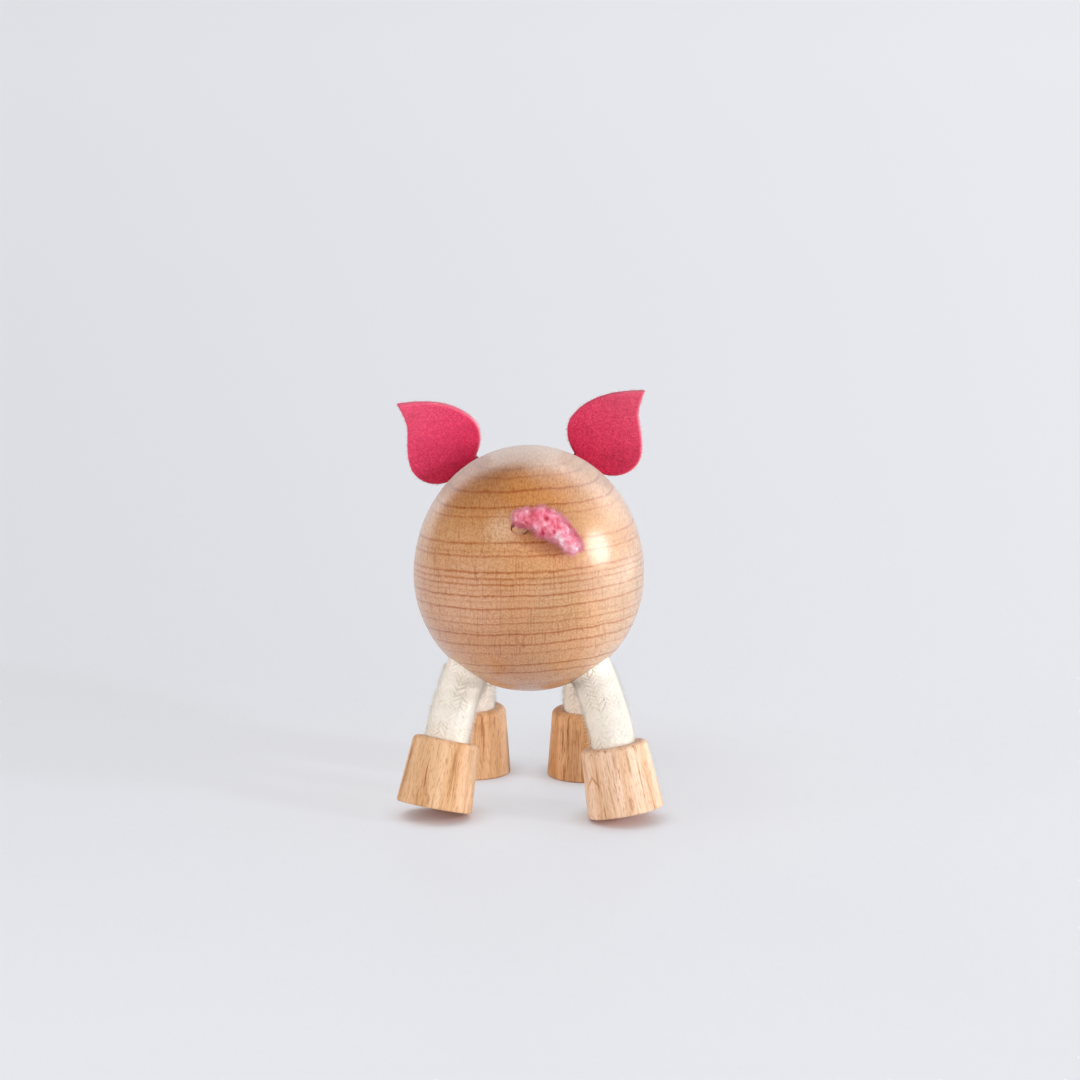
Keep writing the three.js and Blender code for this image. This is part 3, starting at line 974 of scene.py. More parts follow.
def stained_wood():
    """The snout: wood stained pink under the same lacquer."""
    paint = Paint("stained_snout", roughness=0.45, coat_weight=0.8, coat_roughness=0.2)
    place = paint.object_place(offset=tuple(-PLACE))
    grain = paint.grain(place, (0.5, 0.06, 1.6), 3)
    paint.colour = paint.ramp(grain, [
        (0.3, (0.62, 0.24, 0.23)), (0.5, (0.74, 0.34, 0.32)), (0.7, (0.80, 0.42, 0.38)),
    ])
    fleck = paint.grain(place, (3.0, 0.4, 3.0), 2)
    paint.lay(paint.spread(fleck, 0.58, 0.72, 0, 0.5), (0.48, 0.16, 0.15))
    return paint.finished(grain, 0.05, 0.1)


def black_paint():
    paint = Paint("black_paint", coat_weight=0.6, coat_roughness=0.1)
    mottle = paint.grain(paint.object_place(), (1.5, 1.5, 1.5), 3)
    paint.colour = paint.ramp(mottle, [(0.3, (0.008, 0.007, 0.009)), (0.7, (0.02, 0.018, 0.02))])
    paint.give("Roughness", paint.spread(mottle, 0.3, 0.7, 0.18, 0.32))
    return paint.finished(mottle, 0.05, 0.1)


def cotton():
    """Braided cotton: painted shade in the grooves between the yarns, and fine darker specks."""
    paint = Paint("braided_cotton", roughness=0.95, sheen_weight=0.2, sheen_roughness=0.6)
    rest = paint.value("rest", "Vector")
    # Painted shade: low relief, in the grooves between yarns and in the bore, takes the darker colours
    paint.colour = paint.ramp(paint.value("relief"), [
        (0.0, (0.42, 0.29, 0.18)), (0.3, (0.70, 0.57, 0.43)), (0.55, (0.94, 0.85, 0.73)),
        (1.0, (0.98, 0.905, 0.80)),
    ])
    fleck = paint.grain(rest, (2.4, 2.4, 2.4), 3, rough=0.7)
    paint.lay(paint.spread(fleck, 0.54, 0.70, 0, 0.6), (0.66, 0.53, 0.40))
    return paint.finished(paint.noise(rest, scale=3.5, detail=3), 0.6, 0.12)


def felt(name, tint):
    """Pressed wool: matted fibres, painted darker towards the ear's root as shade, and lighter towards its
    tip and at the cut edge as painted light.
    """
    paint = Paint(name, roughness=1.0, sheen_weight=0.12, sheen_roughness=0.5, sheen_tint=(1, 0.5, 0.6, 1))
    rest = paint.value("rest", "Vector")
    mat = paint.noise(rest, scale=3.4, detail=4, rough=0.8)
    deep = [c * 0.74 for c in tint]
    pale = [min(1, c * 1.12 + 0.07) for c in tint]
    paint.colour = paint.ramp(mat, [(0.36, deep), (0.5, tint), (0.64, pale)])
    cloud = paint.noise(rest, scale=0.25, detail=2)
    paint.lay(paint.spread(cloud, 0.35, 0.7, 0, 0.35), deep)
    # Painted shade towards the ear's root, next to the torso, and painted light towards the tip
    up = paint.value("up")
    paint.stain(paint.spread(up, 0.05, 0.5, 0.9, 0.0), (0.86, 0.40, 0.60))
    paint.lay(paint.spread(up, 0.5, 1.0, 0.0, 0.25), (0.88, 0.22, 0.30))
    # Painted light on the cut edge, strongest where it faces the main light
    paint.lay(paint.maths("MULTIPLY", paint.value("edge"), 0.6), (1.0, 0.42, 0.48))
    return paint.finished(mat, 0.6, 0.12)


def chenille(name, through):
    """Dyed pile, deeper at its roots and painted nearly white where highlights fall; a share of light passes
    through.
    """
    paint = Paint(name, roughness=0.9, specular_ior_level=0.1, sheen_weight=0.3, sheen_roughness=0.5)
    paint.give("Sheen Tint", (1.0, 0.6, 0.68, 1))
    paint.colour = paint.ramp(paint.value("tone"), [
        (0.0, (0.50, 0.025, 0.065)), (0.25, (0.84, 0.13, 0.20)), (0.5, (0.96, 0.27, 0.36)),
        (0.75, (0.99, 0.44, 0.53)), (0.97, (1.0, 0.88, 0.90)),
    ])
    rest = paint.value("rest", "Vector")
    uneven = paint.noise(rest, scale=1.2, detail=2)
    paint.lay(paint.spread(uneven, 0.45, 0.75, 0, 0.25), (0.94, 0.30, 0.39))
    paint.share_with(through, paint.add("BsdfTranslucent", {"Color": paint.colour}).outputs[0])
    return paint.finished(paint.noise(rest, scale=4.0, detail=3, rough=0.7), 0.6, 0.15)


def steel():
    paint = Paint("drawn_wire", metallic=1.0)
    drawn = paint.grain(paint.value("rest", "Vector"), (6.0, 6.0, 0.6), 2)
    paint.give("Base Color", paint.ramp(drawn, [(0.3, (0.42, 0.42, 0.43)), (0.7, (0.60, 0.60, 0.61))]))
    paint.give("Roughness", paint.spread(drawn, 0.3, 0.7, 0.28, 0.45))
    return paint.material


def floor_surface():
    """A pale board that is lifted towards its own colour where it is seen, but not close under things, where
    a warm brown painted contact shadow shows; the lift is painted brighter towards the right and the front.
    """
    paint = Paint("studio_floor", roughness=0.45, specular_ior_level=0.2)
    place = paint.object_place()
    faint = paint.grain(place, (0.004, 0.004, 0.004), 2)
    board = paint.ramp(faint, [(0.3, (0.79, 0.80, 0.84)), (0.7, (0.81, 0.82, 0.86))])
    clear = paint.add("AmbientOcclusion", {"Distance": CONTACT_REACH * MM}).outputs["AO"]
    # Painted contact shadow: the board turns warm brown close under things
    paint.give("Base Color", paint.mix(clear, (0.66, 0.43, 0.36, 1), board))
    # Painted light on the floor: the lift is brighter towards the right and the front, and a little far back
    parts = paint.add("SeparateXYZ", {0: place}).outputs
    depth = paint.maths("ADD", parts["Y"], 1100)
    across = paint.spread(paint.maths("DIVIDE", parts["X"], depth), -0.09, 0.09)
    front = paint.spread(parts["Y"], -150, 120, 1.0, 0.0)
    back = paint.spread(parts["Y"], 100, 1100, 0.0, 0.075)
    level = paint.maths("MULTIPLY_ADD", paint.maths("MAXIMUM", across, front), 0.105, back)
    level = paint.maths("ADD", level, 0.755)
    tint = paint.add("VectorMath", {0: FLOOR_TINT, "Scale": level}, operation="SCALE").outputs["Vector"]
    ray = paint.add("LightPath").outputs
    seen = paint.maths("MAXIMUM", ray["Is Camera Ray"], ray["Is Glossy Ray"])
    seen = paint.maths("MAXIMUM", seen, ray["Is Transmission Ray"])
    # The lift is held back close under things, deepening the painted contact shadow
    lift = paint.maths("MULTIPLY", paint.maths("MULTIPLY", seen, clear), FLOOR_LIFT)
    paint.share_with(lift, paint.add("Emission", {"Color": tint}).outputs[0])
    return paint.material


# Torso
def torso_profile():
    rows = TORSO_ROWS
    profile = [(0, -TORSO_REAR_LENGTH)]
    for i in range(1, rows):
        turn = i / rows * math.pi / 2
        profile.append((TORSO_RADIUS * math.sin(turn), -TORSO_REAR_LENGTH * math.cos(turn)))
    power = 2 / TORSO_FRONT_POWER
    last = math.acos((SNOUT_RADIUS / TORSO_RADIUS) ** (1 / power))
    for i in range(rows + 1):
        turn = i / rows * last
        radius = TORSO_RADIUS * math.cos(turn) ** power
        profile.append((radius, TORSO_FRONT_LENGTH * math.sin(turn) ** power))
    return profile + [(0, TORSO_FLAT)]


def rod(start, end, radius, sides=HOLE_SIDES):
    """A round tool between two points."""
    start, end = np.asarray(start, float), np.asarray(end, float)
    length = np.linalg.norm(end - start)
    profile = [(0, 0), (radius, 0), (radius, length), (0, length)]
    points, faces = lathe(profile, sides)
    turn, origin = frame_along(start, end - start, ANY_WAY)
    return turned(points, turn, origin), faces


def slot_tool(ear):
    turn, origin = ear_frame(ear)
    half = np.array([EAR_TAB_WIDTH / 2 + GLUE_GAP, EAR_TAB_DEPTH, EAR_THICKNESS / 2 + GLUE_GAP])
    corners = [(x, y, z) for z in (-1, 1) for y in (-1, 1) for x in (-1, 1)]
    faces = [(0, 2, 3, 1), (4, 5, 7, 6), (0, 1, 5, 4), (2, 6, 7, 3), (0, 4, 6, 2), (1, 3, 7, 5)]
    return turned(np.array(corners) * half, turn, origin), faces


def dowel_span(extra):
    end = TORSO_FLAT + DOWEL_REACH
    return (0, end - DOWEL_LENGTH - extra, 0), (0, end + extra, 0)


def torso_tools():
    tools = []
    for foot in FEET.values():
        mouth, down = hip_frame(foot)
        tools.append(rod(mouth - SOCKET_DEPTH * down, mouth + 2 * CORD_RADIUS * down, SOCKET_RADIUS))
    tools += [slot_tool(ear) for ear in EARS.values()]
    turn, origin = tail_frame()
    out = turn[:, 2]
    tools.append(rod(origin - TAIL_HOLE_DEPTH * out, origin + TAIL_HOLE_DEPTH * out, TAIL_HOLE_RADIUS))
    tools.append(rod(*dowel_span(REST_GAP), DOWEL_RADIUS + GLUE_GAP))
    for side in (-1, 1):
        point, normal = on_torso(TORSO_FLAT - EYE_SETBACK, side * EYE_ANGLE)
        start = point - (EYE_SHANK_LENGTH + REST_GAP) * normal
        tools.append(rod(start, point + EYE_SHANK_LENGTH * normal, EYE_SHANK_RADIUS + GLUE_GAP))
    return tools


def smooth_egg(piece):
    """Sets the true normals of the turned outline, so that cuts leave no dents in the gloss."""
    mesh = piece.data
    spots = np.array([v.co for v in mesh.vertices]) / MM - PLACE
    normals = []
    for polygon in mesh.polygons:
        own = np.array(polygon.normal)
        for index in polygon.vertices:
            x, y, z = spots[index]
            radius = math.hypot(x, z)
            true = own
            if radius > 1e-3 and abs(radius - torso_radius_at(y)) < 0.02:
                found = unit((x / radius, -torso_slope(y), z / radius))
                true = found if found @ own > 0.9 else own
            normals.append(true)
    mesh.normals_split_custom_set([tuple(n) for n in normals])


def make_torso(finish):
    torso = make_turned("turned_torso", torso_profile(), TORSO_SIDES, TURN_TO_Y, 0, finish)
    carve(torso, torso_tools())
    smooth(torso)
    smooth_egg(torso)
    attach(torso, "torso_body")
    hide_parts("torso")


# Feet
def make_foot(name, foot, finish):
    bottom = (FOOT_BOTTOM_RADIUS - FOOT_BOTTOM_BREAK, FOOT_BOTTOM_BREAK)
    top = (FOOT_TOP_RADIUS - FOOT_TOP_ROUND, FOOT_HEIGHT - FOOT_TOP_ROUND)
    profile = [(0, 0), (0.5 * FOOT_BOTTOM_RADIUS, 0)]
    profile += arc(bottom, FOOT_BOTTOM_BREAK, -90, 0, 7)
    low, high = profile[-1], (FOOT_TOP_RADIUS, FOOT_HEIGHT - FOOT_TOP_ROUND)
    profile += [tuple(np.array(low) + (np.array(high) - low) * i / FOOT_ROWS) for i in range(1, FOOT_ROWS)]
    profile += arc(top, FOOT_TOP_ROUND, 0, 90, 12)
    profile += arc((SOCKET_RADIUS + FOOT_RIM, FOOT_HEIGHT - FOOT_RIM), FOOT_RIM, 90, 180, 4)
    profile += [(SOCKET_RADIUS, FOOT_HEIGHT - SOCKET_DEPTH), (0, FOOT_HEIGHT - SOCKET_DEPTH)]
    points, faces = lathe(profile, FOOT_SIDES)
    piece = make_object(f"{name}_turned_foot", points, faces, finish, place=np.zeros(3))
    sharpen(piece, 40)
    base, turn = foot_frame(foot)
    piece.matrix_world = Matrix.Translation(placed(base)) @ Matrix(turn.tolist()).to_4x4()
    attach(piece, f"{name}_foot_body")
    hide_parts(f"{name}_foot")


# Leg cords: a herringbone braid round a wire
def braid_relief(columns, along, shifts, uneven):
    """Height of the yarns from 0 to 1; neighbouring columns slant opposite ways."""
    column = np.floor(columns).astype(int)
    across = columns - column
    way = np.where(column % 2 == 0, 1, -1)
    phase = along / BRAID_PITCH + way * (across - 0.5) * BRAID_SLANT + BRAID_OFFSET * way
    phase = phase + shifts[column % BRAID_COLUMNS] + uneven
    yarn = np.abs(np.sin(np.pi * phase)) ** 0.5
    ridge = 1 - np.abs(2 * across - 1) ** 6
    return yarn * (0.5 + 0.5 * ridge)


def cord_stations(line):
    """Places along a cord: close together where it shows, wide apart in its sockets."""
    held = SOCKET_DEPTH - REST_GAP
    total = lengths_along(line)[-1]
    seen_from, seen_to = held - SEEN_INSIDE, total - held + SEEN_INSIDE
    shown = np.linspace(seen_from, seen_to, int((seen_to - seen_from) / BRAID_STEP))
    before = np.arange(0, seen_from - HIDDEN_STEP / 2, HIDDEN_STEP)
    after = np.arange(total, seen_to + HIDDEN_STEP / 2, -HIDDEN_STEP)[::-1]
    return np.concatenate([before, shown, after]), held, total


def halves_of(stations, middle_row):
    """The upper and the lower half of a leg's cord or wire, with their first and last rows."""
    return ("upper", 0, middle_row), ("lower", middle_row, len(stations) - 1)


def split_pieces(foot_name, kind, halves):
    """Bakes the placement into a leg's upper and lower half, and hides the leg's own part from the model."""
    upper, lower = halves
    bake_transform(upper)
    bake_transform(lower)
    for piece in halves:
        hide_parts(f"{foot_name}_leg_{kind}")


def tube_normals(rows):
    """Normals of a closed grid of points, row by row."""
    along = np.gradient(rows, axis=0)
    round_it = np.roll(rows, -1, axis=1) - np.roll(rows, 1, axis=1)
    return units(np.cross(round_it, along))


def cord_relief(spots, stations, columns, shifts, seed):
    """The braid's relief at each spot of a cord; it shows strongly in some patches and faintly in others."""
    shape = (len(stations), len(columns))
    uneven = layered(spots, CORD_UNEVEN, seed + 20, 10)
    relief = braid_relief(columns[None, :], stations[:, None], shifts, uneven.reshape(shape))
    patches = layered(spots, CORD_PATCHES, seed + 40, 10)
    shown = np.clip(BRAID_SHOWN + BRAID_PATCHY * patches, BRAID_FAINTEST, 1).reshape(shape)
    return 1 - (1 - relief) * shown


def hollow_faces(height, count):
    """Faces of a tube with a plain bore: the outer wall, the bore and the rims at both ends."""
    seats = height * count
    faces = grid_faces(height, count)
    faces += grid_faces(2, count, seats, flip=True)
    top = (height - 1) * count
    for j in range(count):
        k = (j + 1) % count
        faces.append((k, j, seats + j, seats + k))
        faces.append((top + j, top + k, seats + count + k, seats + count + j))
    return faces


def make_cord(name, foot, finish, seed):
    rng = np.random.default_rng(seed)
    line = leg_line(foot, 0)
    stations, held, total = cord_stations(line)
    centres, tangents, sides, others = sampled(line, stations)
    count = BRAID_COLUMNS * BRAID_SAMPLES
    columns = np.arange(count) / BRAID_SAMPLES
    shifts = rng.uniform(-BRAID_UNEVEN, BRAID_UNEVEN, BRAID_COLUMNS)
    outward = rings_round(sides, others, turns_of(count))
    spots = (outward * CORD_RADIUS + centres[:, None]).reshape(-1, 3)
    relief = cord_relief(spots, stations, columns, shifts, seed)
    lumps = roughness_of(spots, CORD_LUMP_SIZE, seed).reshape(relief.shape)
    radius = CORD_RADIUS - BRAID_DEPTH * (1 - relief) + CORD_LUMPS * lumps
    rows = centres[:, None] + outward * radius[:, :, None]
    normals = tube_normals(rows)
    rest = np.broadcast_arrays(columns[None, :] * BRAID_WIDTH, stations[:, None], seed * 10.0)
    rest = np.stack(rest, axis=2)
    bore = centres[:, None] + outward * (WIRE_RADIUS + GLUE_GAP)
    middle_row = int(np.argmin(abs(stations - total / 2)))
    halves = []
    for part, first, last in halves_of(stations, middle_row):
        span = slice(first, last + 1)
        height = last - first + 1
        outer = rows[span].reshape(-1, 3)
        inner = bore[[first, last]].reshape(-1, 3)
        faces = hollow_faces(height, count)
        shown = np.flatnonzero((stations[span] > held) & (stations[span] < total - held))
        hairs = CORD_HAIRS // 2
        row = shown[rng.integers(0, len(shown), hairs)]
        spot = rng.integers(0, count, hairs)
        out = normals[span][row, spot]
        lie = out * rng.uniform(*CORD_HAIR_RISE, (hairs, 1)) + rng.normal(0, CORD_HAIR_RUFFLE, (hairs, 3))
        reach = rng.uniform(*CORD_HAIR_REACH, hairs)
        bow = rng.normal(0, CORD_HAIR_BOW, (hairs, 3))
        roots = rows[span][row, spot] - CORD_HAIR_DEPTH * out
        hair, hair_faces, _, each = fibres(roots, lie, reach, CORD_HAIR_RADIUS, bow)
        base = len(outer) + len(inner)
        faces += [[base + i for i in face] for face in hair_faces]
        points = np.vstack([outer, inner, hair])
        piece = make_object(f"{name}_cord_{part}", points, faces, finish)
        flat_rest = rest[span].reshape(-1, 3)
        hair_rest = np.repeat(rest[span][row, spot], each, axis=0)
        set_values(piece, "rest", np.vstack([flat_rest, flat_rest[:count], flat_rest[-count:], hair_rest]))
        shades = np.full(2 * count, BORE_SHADE), np.full(len(hair), HAIR_SHADE)
        set_values(piece, "relief", np.concatenate([relief[span].ravel(), *shades]))
        given = np.zeros((len(points), 3))
        given[:len(outer)] = normals[span].reshape(-1, 3)
        given[base:] = np.repeat(out, each, axis=0)
        set_tube_normals(piece, given, height, count)
        halves.append(piece)
    split_pieces(name, "cord", halves)


def set_tube_normals(piece, normals, height, count):
    """Gives a tube's outer wall the whole tube's normals, so that its halves meet unseen."""
    wall = (height - 1) * count
    # The bore, both rims and the first few hairs keep the mesh's own normals
    untouched = 4 * count
    given = []
    for index, polygon in enumerate(piece.data.polygons):
        own = wall <= index < wall + untouched
        for corner in polygon.vertices:
            given.append((0, 0, 0) if own else tuple(normals[corner]))
    piece.data.normals_split_custom_set(given)


def make_wire(name, foot, finish):
    line = leg_line(foot, WIRE_INSET)
    stations = np.linspace(0, lengths_along(line)[-1], WIRE_ROWS)
    centres, tangents, sides, others = sampled(line, stations)
    turns = turns_of(WIRE_SIDES)
    rows = centres[:, None] + rings_round(sides, others, turns) * WIRE_RADIUS
    middle_row = WIRE_ROWS // 2
    halves = []
    for part, first, last in halves_of(stations, middle_row):
        span = slice(first, last + 1)
        faces = tube_faces(last - first + 1, WIRE_SIDES)
        piece = make_object(f"{name}_wire_{part}", rows[span].reshape(-1, 3), faces, finish)
        rest = np.broadcast_arrays(np.cos(turns)[None, :], np.sin(turns)[None, :], stations[span, None])
        set_values(piece, "rest", np.stack(rest, axis=2).reshape(-1, 3))
        sharpen(piece, 50)
        halves.append(piece)
    split_pieces(name, "wire", halves)


# Ears
def ear_outline():
    half = EAR_TAB_WIDTH / 2
    length, inner, outer = EAR_LENGTH, EAR_INNER_WIDTH, EAR_OUTER_WIDTH
    widest, root, foot = 0.31 * length, 0.01 * length, REST_GAP - EAR_TAB_DEPTH
    notch = (-0.27 * outer, 0.74 * length)
    curves = [
        [(half, root), (0.66 * inner, 0.05 * length), (inner, 0.15 * length), (inner, widest)],
        [(inner, widest), (inner, 0.62 * length), (0.44 * inner, 0.855 * length), (0, length)],
        [(0, length), (-0.07 * outer, 0.91 * length), (-0.13 * outer, 0.81 * length), notch],
        [notch, (-0.54 * outer, 0.62 * length), (-outer, 0.48 * length), (-outer, widest)],
        [(-outer, widest), (-outer, 0.15 * length), (-0.7 * outer, 0.05 * length), (-half, root)],
    ]
    line = [np.array([[-half, foot], [half, foot]])]
    line += [bezier(curve, np.linspace(0, 1, 80)) for curve in curves]
    line = np.vstack([*line, line[0][:1]])
    along = lengths_along(line)
    keep = np.concatenate([[True], np.diff(along) > 1e-9])
    return spaced(line[keep], np.linspace(0, along[-1], int(along[-1] / EAR_GRAIN))[:-1])


def edge_distance(points, outline):
    """How far each point lies from the outline."""
    start, end = outline, np.roll(outline, -1, axis=0)
    step = end - start
    best = np.full(len(points), np.inf)
    for a, d in zip(start, step):
        share = np.clip(((points - a) @ d) / (d @ d), 0, 1)
        best = np.minimum(best, np.linalg.norm(points - a - share[:, None] * d, axis=1))
    return best


def inside(points, outline):
    """Which points lie within the outline."""
    start, end = outline, np.roll(outline, -1, axis=0)
    found = np.zeros(len(points), bool)
    for (x0, y0), (x1, y1) in zip(start, end):
        crosses = (y0 > points[:, 1]) != (y1 > points[:, 1])
        with np.errstate(divide="ignore", invalid="ignore"):
            reach = x0 + (points[:, 1] - y0) * (x1 - x0) / (y1 - y0)
        found ^= crosses & (points[:, 0] < reach)
    return found


def ear_shape(seed):
    """A felt leaf with rounded cut edges, in its own frame: points, faces, nearness to the edge and area."""
    rng = np.random.default_rng(seed)
    outline = ear_outline()
    low, high = outline.min(0), outline.max(0)
    grid = np.stack(np.meshgrid(
        np.arange(low[0], high[0], EAR_GRAIN), np.arange(low[1], high[1], EAR_GRAIN * 0.87),
    ), axis=2)
    grid[1::2, :, 0] += EAR_GRAIN / 2
    grid = grid.reshape(-1, 2)
    grid = grid + rng.uniform(-EAR_JITTER, EAR_JITTER, grid.shape)
    grid = grid[inside(grid, outline)]
    grid = grid[edge_distance(grid, outline) > EAR_GRAIN * 0.6]
    flat = np.vstack([outline, grid])
    count = len(outline)
    made = geometry.delaunay_2d_cdt([Vector(p) for p in flat], [], [list(range(count))], 1, 1e-6)
    spots = np.array([tuple(v) for v in made[0]])
    triangles = [tuple(f) for f in made[2]]
    depth = np.minimum(edge_distance(spots, outline), EAR_ROUND)
    half = EAR_THICKNESS / 2 - EAR_ROUND + np.sqrt(EAR_ROUND**2 - (EAR_ROUND - depth) ** 2)
    lumps = []
    for side in (1, -1):
        apart = np.column_stack([spots, np.full(len(spots), side * EAR_SIDES_APART)])
        lumps.append(layered(apart, EAR_LUMPS, seed, 3))
    front = np.column_stack([spots, half + lumps[0]])
    back = np.column_stack([spots, -half - lumps[1]])
    first = len(spots)
    faces = list(triangles)
    faces += [tuple(first + i for i in face[::-1]) for face in triangles]
    points = [front, back]
    index = [np.arange(count)]
    for row in range(1, EAR_WALL_ROWS):
        points.append(front[:count] + (back[:count] - front[:count]) * (row / EAR_WALL_ROWS))
        index.append(2 * first + (row - 1) * count + np.arange(count))
    index.append(first + np.arange(count))
    for upper, lower in zip(index, index[1:]):
        for i in range(count):
            j = (i + 1) % count
            faces.append((upper[j], upper[i], lower[i], lower[j]))
    area = sum(abs(np.cross(spots[b] - spots[a], spots[c] - spots[a])) / 2 for a, b, c in triangles)
    paler = np.clip(1 - edge_distance(spots, outline) / EAR_ROUND, 0, 1)
    edge = np.concatenate([paler, paler, np.ones(count * (EAR_WALL_ROWS - 1))])
    return np.vstack(points), [tuple(int(i) for i in f) for f in faces], edge, area


def make_ear(name, ear, finish, fuzz_finish, seed):
    rng = np.random.default_rng(seed + 50)
    points, faces, edge, area = ear_shape(seed)
    turn, origin = ear_frame(ear)
    leaf = make_object(f"{name}_felt_ear", turned(points, turn, origin), faces, finish)
    set_values(leaf, "rest", points + seed * 40.0)
    leaf.data.update()
    normals = np.array([v.normal for v in leaf.data.vertices])
    # The cut edge looks paler on the side that the main light comes from
    edge = edge * np.clip(0.2 + 0.8 * normals[:, 0], 0, 1)
    # Height up the ear from root to tip, for the painted shade and light
    up = points[:, 1] / points[:, 1].max()
    set_values(leaf, "edge", edge)
    set_values(leaf, "up", up)
    outside = np.flatnonzero(points[:, 1] > 0.6)
    picks = rng.choice(outside, EAR_HAIRS)
    roots = turned(points, turn, origin)[picks] - EAR_HAIR_DEPTH * normals[picks]
    roots = roots + rng.uniform(-EAR_HAIR_SHIFT, EAR_HAIR_SHIFT, roots.shape)
    rise = rng.uniform(*EAR_HAIR_RISE, (EAR_HAIRS, 1))
    lie = normals[picks] * rise + rng.normal(0, EAR_HAIR_RUFFLE, (EAR_HAIRS, 3))
    reach = rng.uniform(*EAR_HAIR_REACH, EAR_HAIRS)
    bow = rng.normal(0, EAR_HAIR_BOW, (EAR_HAIRS, 3))
    hair, hair_faces, _, each = fibres(roots, lie, reach, EAR_HAIR_RADIUS, bow)
    fuzz = make_object(f"{name}_ear_fuzz", hair, hair_faces, fuzz_finish)
    set_values(fuzz, "rest", np.repeat(points[picks] + seed * 40.0, each, axis=0))
    set_values(fuzz, "edge", np.repeat(edge[picks], each))
    set_values(fuzz, "up", np.repeat(up[picks], each))
    set_normals(fuzz, np.repeat(normals[picks], each, axis=0))
    for piece in (leaf, fuzz):
        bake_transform(piece)
    # The lacquer mirrors only the loose hairs, as a faint tint
    leaf.visible_glossy = False
    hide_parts(f"{name}_ear")


# Tail: a matted body of pile with loose hairs, its tone painted pale as highlights and deep as shade in
# places
def pile_radius(share):
    return PILE_SHARE * np.interp(share, PILE_SHAPE[:, 0], PILE_SHAPE[:, 1])


def nearness(points, line, share, face, size):
    """How near points are to a spot on the plain pile: 1 there, and nearly 0 at twice its size."""
    centre = point_at(line, share * lengths_along(line)[-1])
    spot = centre + unit(face) * pile_radius(share)
    return np.exp(-((np.linalg.norm(points - spot, axis=1) / size) ** 2))


def untwisted(line, stations):
    """Side vectors at any stations, in any order, of the frame that doesn't twist."""
    order = np.argsort(stations)
    _, _, sides, others = sampled(line, np.asarray(stations)[order])
    back = np.empty_like(order)
    back[order] = np.arange(len(order))
    return sides[back], others[back]


def pile_surface(line, at, turn):
    """Points of the matted pile, the way each faces and its tone from 0 to 1."""
    centres = spaced(line, at)
    way = swung(*untwisted(line, at), turn)
    radius = pile_radius(at / lengths_along(line)[-1])
    around = centres + way * radius[:, None]
    lumps = layered(around, PILE_LUMPS, PILE_SEED, 2)
    # Painted light and shade: paler tone on the lumps, deeper in the hollows between them
    tone = PILE_TONE + PILE_TONE_SPREAD * lumps
    for share, face, size, height in PILE_SWELLS:
        radius = radius + height * nearness(around, line, share, face, size)
    # Painted highlights and shade: pale marks raised, dark marks sunk
    for share, face, size, change in PILE_LIGHT_AND_SHADE_MARKS:
        near = nearness(around, line, share, face, size)
        tone = tone + change * near
        lumps = lumps + PILE_MARK_HEIGHT * change * near
    points = centres + way * (radius * (1 + PILE_LUMP_HEIGHT * lumps))[:, None]
    return points, way, np.clip(tone, 0, 1)


def wagged(points, angle):
    """Points of the tail after it turns in its hole."""
    turn, origin = tail_frame()
    spin = np.array(Matrix.Rotation(math.radians(angle), 3, Vector(turn[:, 2])))
    return (points - origin) @ spin.T + origin


def above_torso(points):
    """How far points lie outside the torso's round section there."""
    return np.array([math.hypot(x, z) - torso_radius_at(y) for x, y, z in points])


def make_tail(pile_finish, hair_finish):
    rng = np.random.default_rng(PILE_SEED)
    line = tail_line(PILE_LIFT)
    total = lengths_along(line)[-1]
    at = np.repeat(np.linspace(0, total, PILE_ROWS), PILE_ROUND)
    body, _, body_tone = pile_surface(line, at, np.tile(turns_of(PILE_ROUND), PILE_ROWS))
    at = rng.uniform(0, total, TAIL_HAIRS)
    turn = rng.uniform(0, 2 * math.pi, TAIL_HAIRS)
    roots, way, tone = pile_surface(line, at, turn)
    comb = np.column_stack([roughness_of(roots, TAIL_COMB_SIZE, seed) for seed in TAIL_COMB_SEEDS])
    onward = np.gradient(spaced(line, np.linspace(0, total, TAIL_END_ROWS)), axis=0)[-1]
    end = np.clip(at / total - TAIL_END, 0, 1)[:, None] / (1 - TAIL_END)
    lie = way + TAIL_HAIR_COMB * comb + rng.normal(0, TAIL_HAIR_RUFFLE, way.shape)
    lie = units(lie + TAIL_END_PULL * end * unit(onward))
    reach = rng.uniform(*TAIL_HAIR_REACH, TAIL_HAIRS)
    tips = roots + lie * reach[:, None]
    clear = above_torso(tips) > HAIR_CLEARANCE
    for angle in TAIL_WAG:
        clear &= above_torso(wagged(tips, angle)) > WAG_CLEARANCE
    roots, lie, reach, tone, way = roots[clear], lie[clear], reach[clear], tone[clear], way[clear]
    bow = rng.normal(0, TAIL_HAIR_BOW, roots.shape)
    hair, hair_faces, shares, each = fibres(roots - TAIL_HAIR_DEPTH * lie, lie, reach, TAIL_HAIR_RADIUS, bow)
    hair_tone = np.clip(tone + rng.normal(0, TAIL_TONE_RUFFLE, len(roots)), *TAIL_TONES)
    pile = make_object("chenille_tail", body, tube_faces(PILE_ROWS, PILE_ROUND), pile_finish)
    set_values(pile, "tone", body_tone)
    set_values(pile, "rest", body)
    hairs = make_object("loose_tail_hairs", hair, hair_faces, hair_finish)
    set_values(hairs, "tone", np.repeat(hair_tone, each) + TAIL_TIP_PALER * shares)
    set_values(hairs, "rest", hair)
    set_normals(hairs, np.repeat(way + TAIL_HAIR_AWAY * units(roots), each, axis=0))
    # Fine hairs let the light through to the pile
    hairs.visible_shadow = False
    for piece in (pile, hairs):
        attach(piece, "tail_body")
        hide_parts("tail_pile")


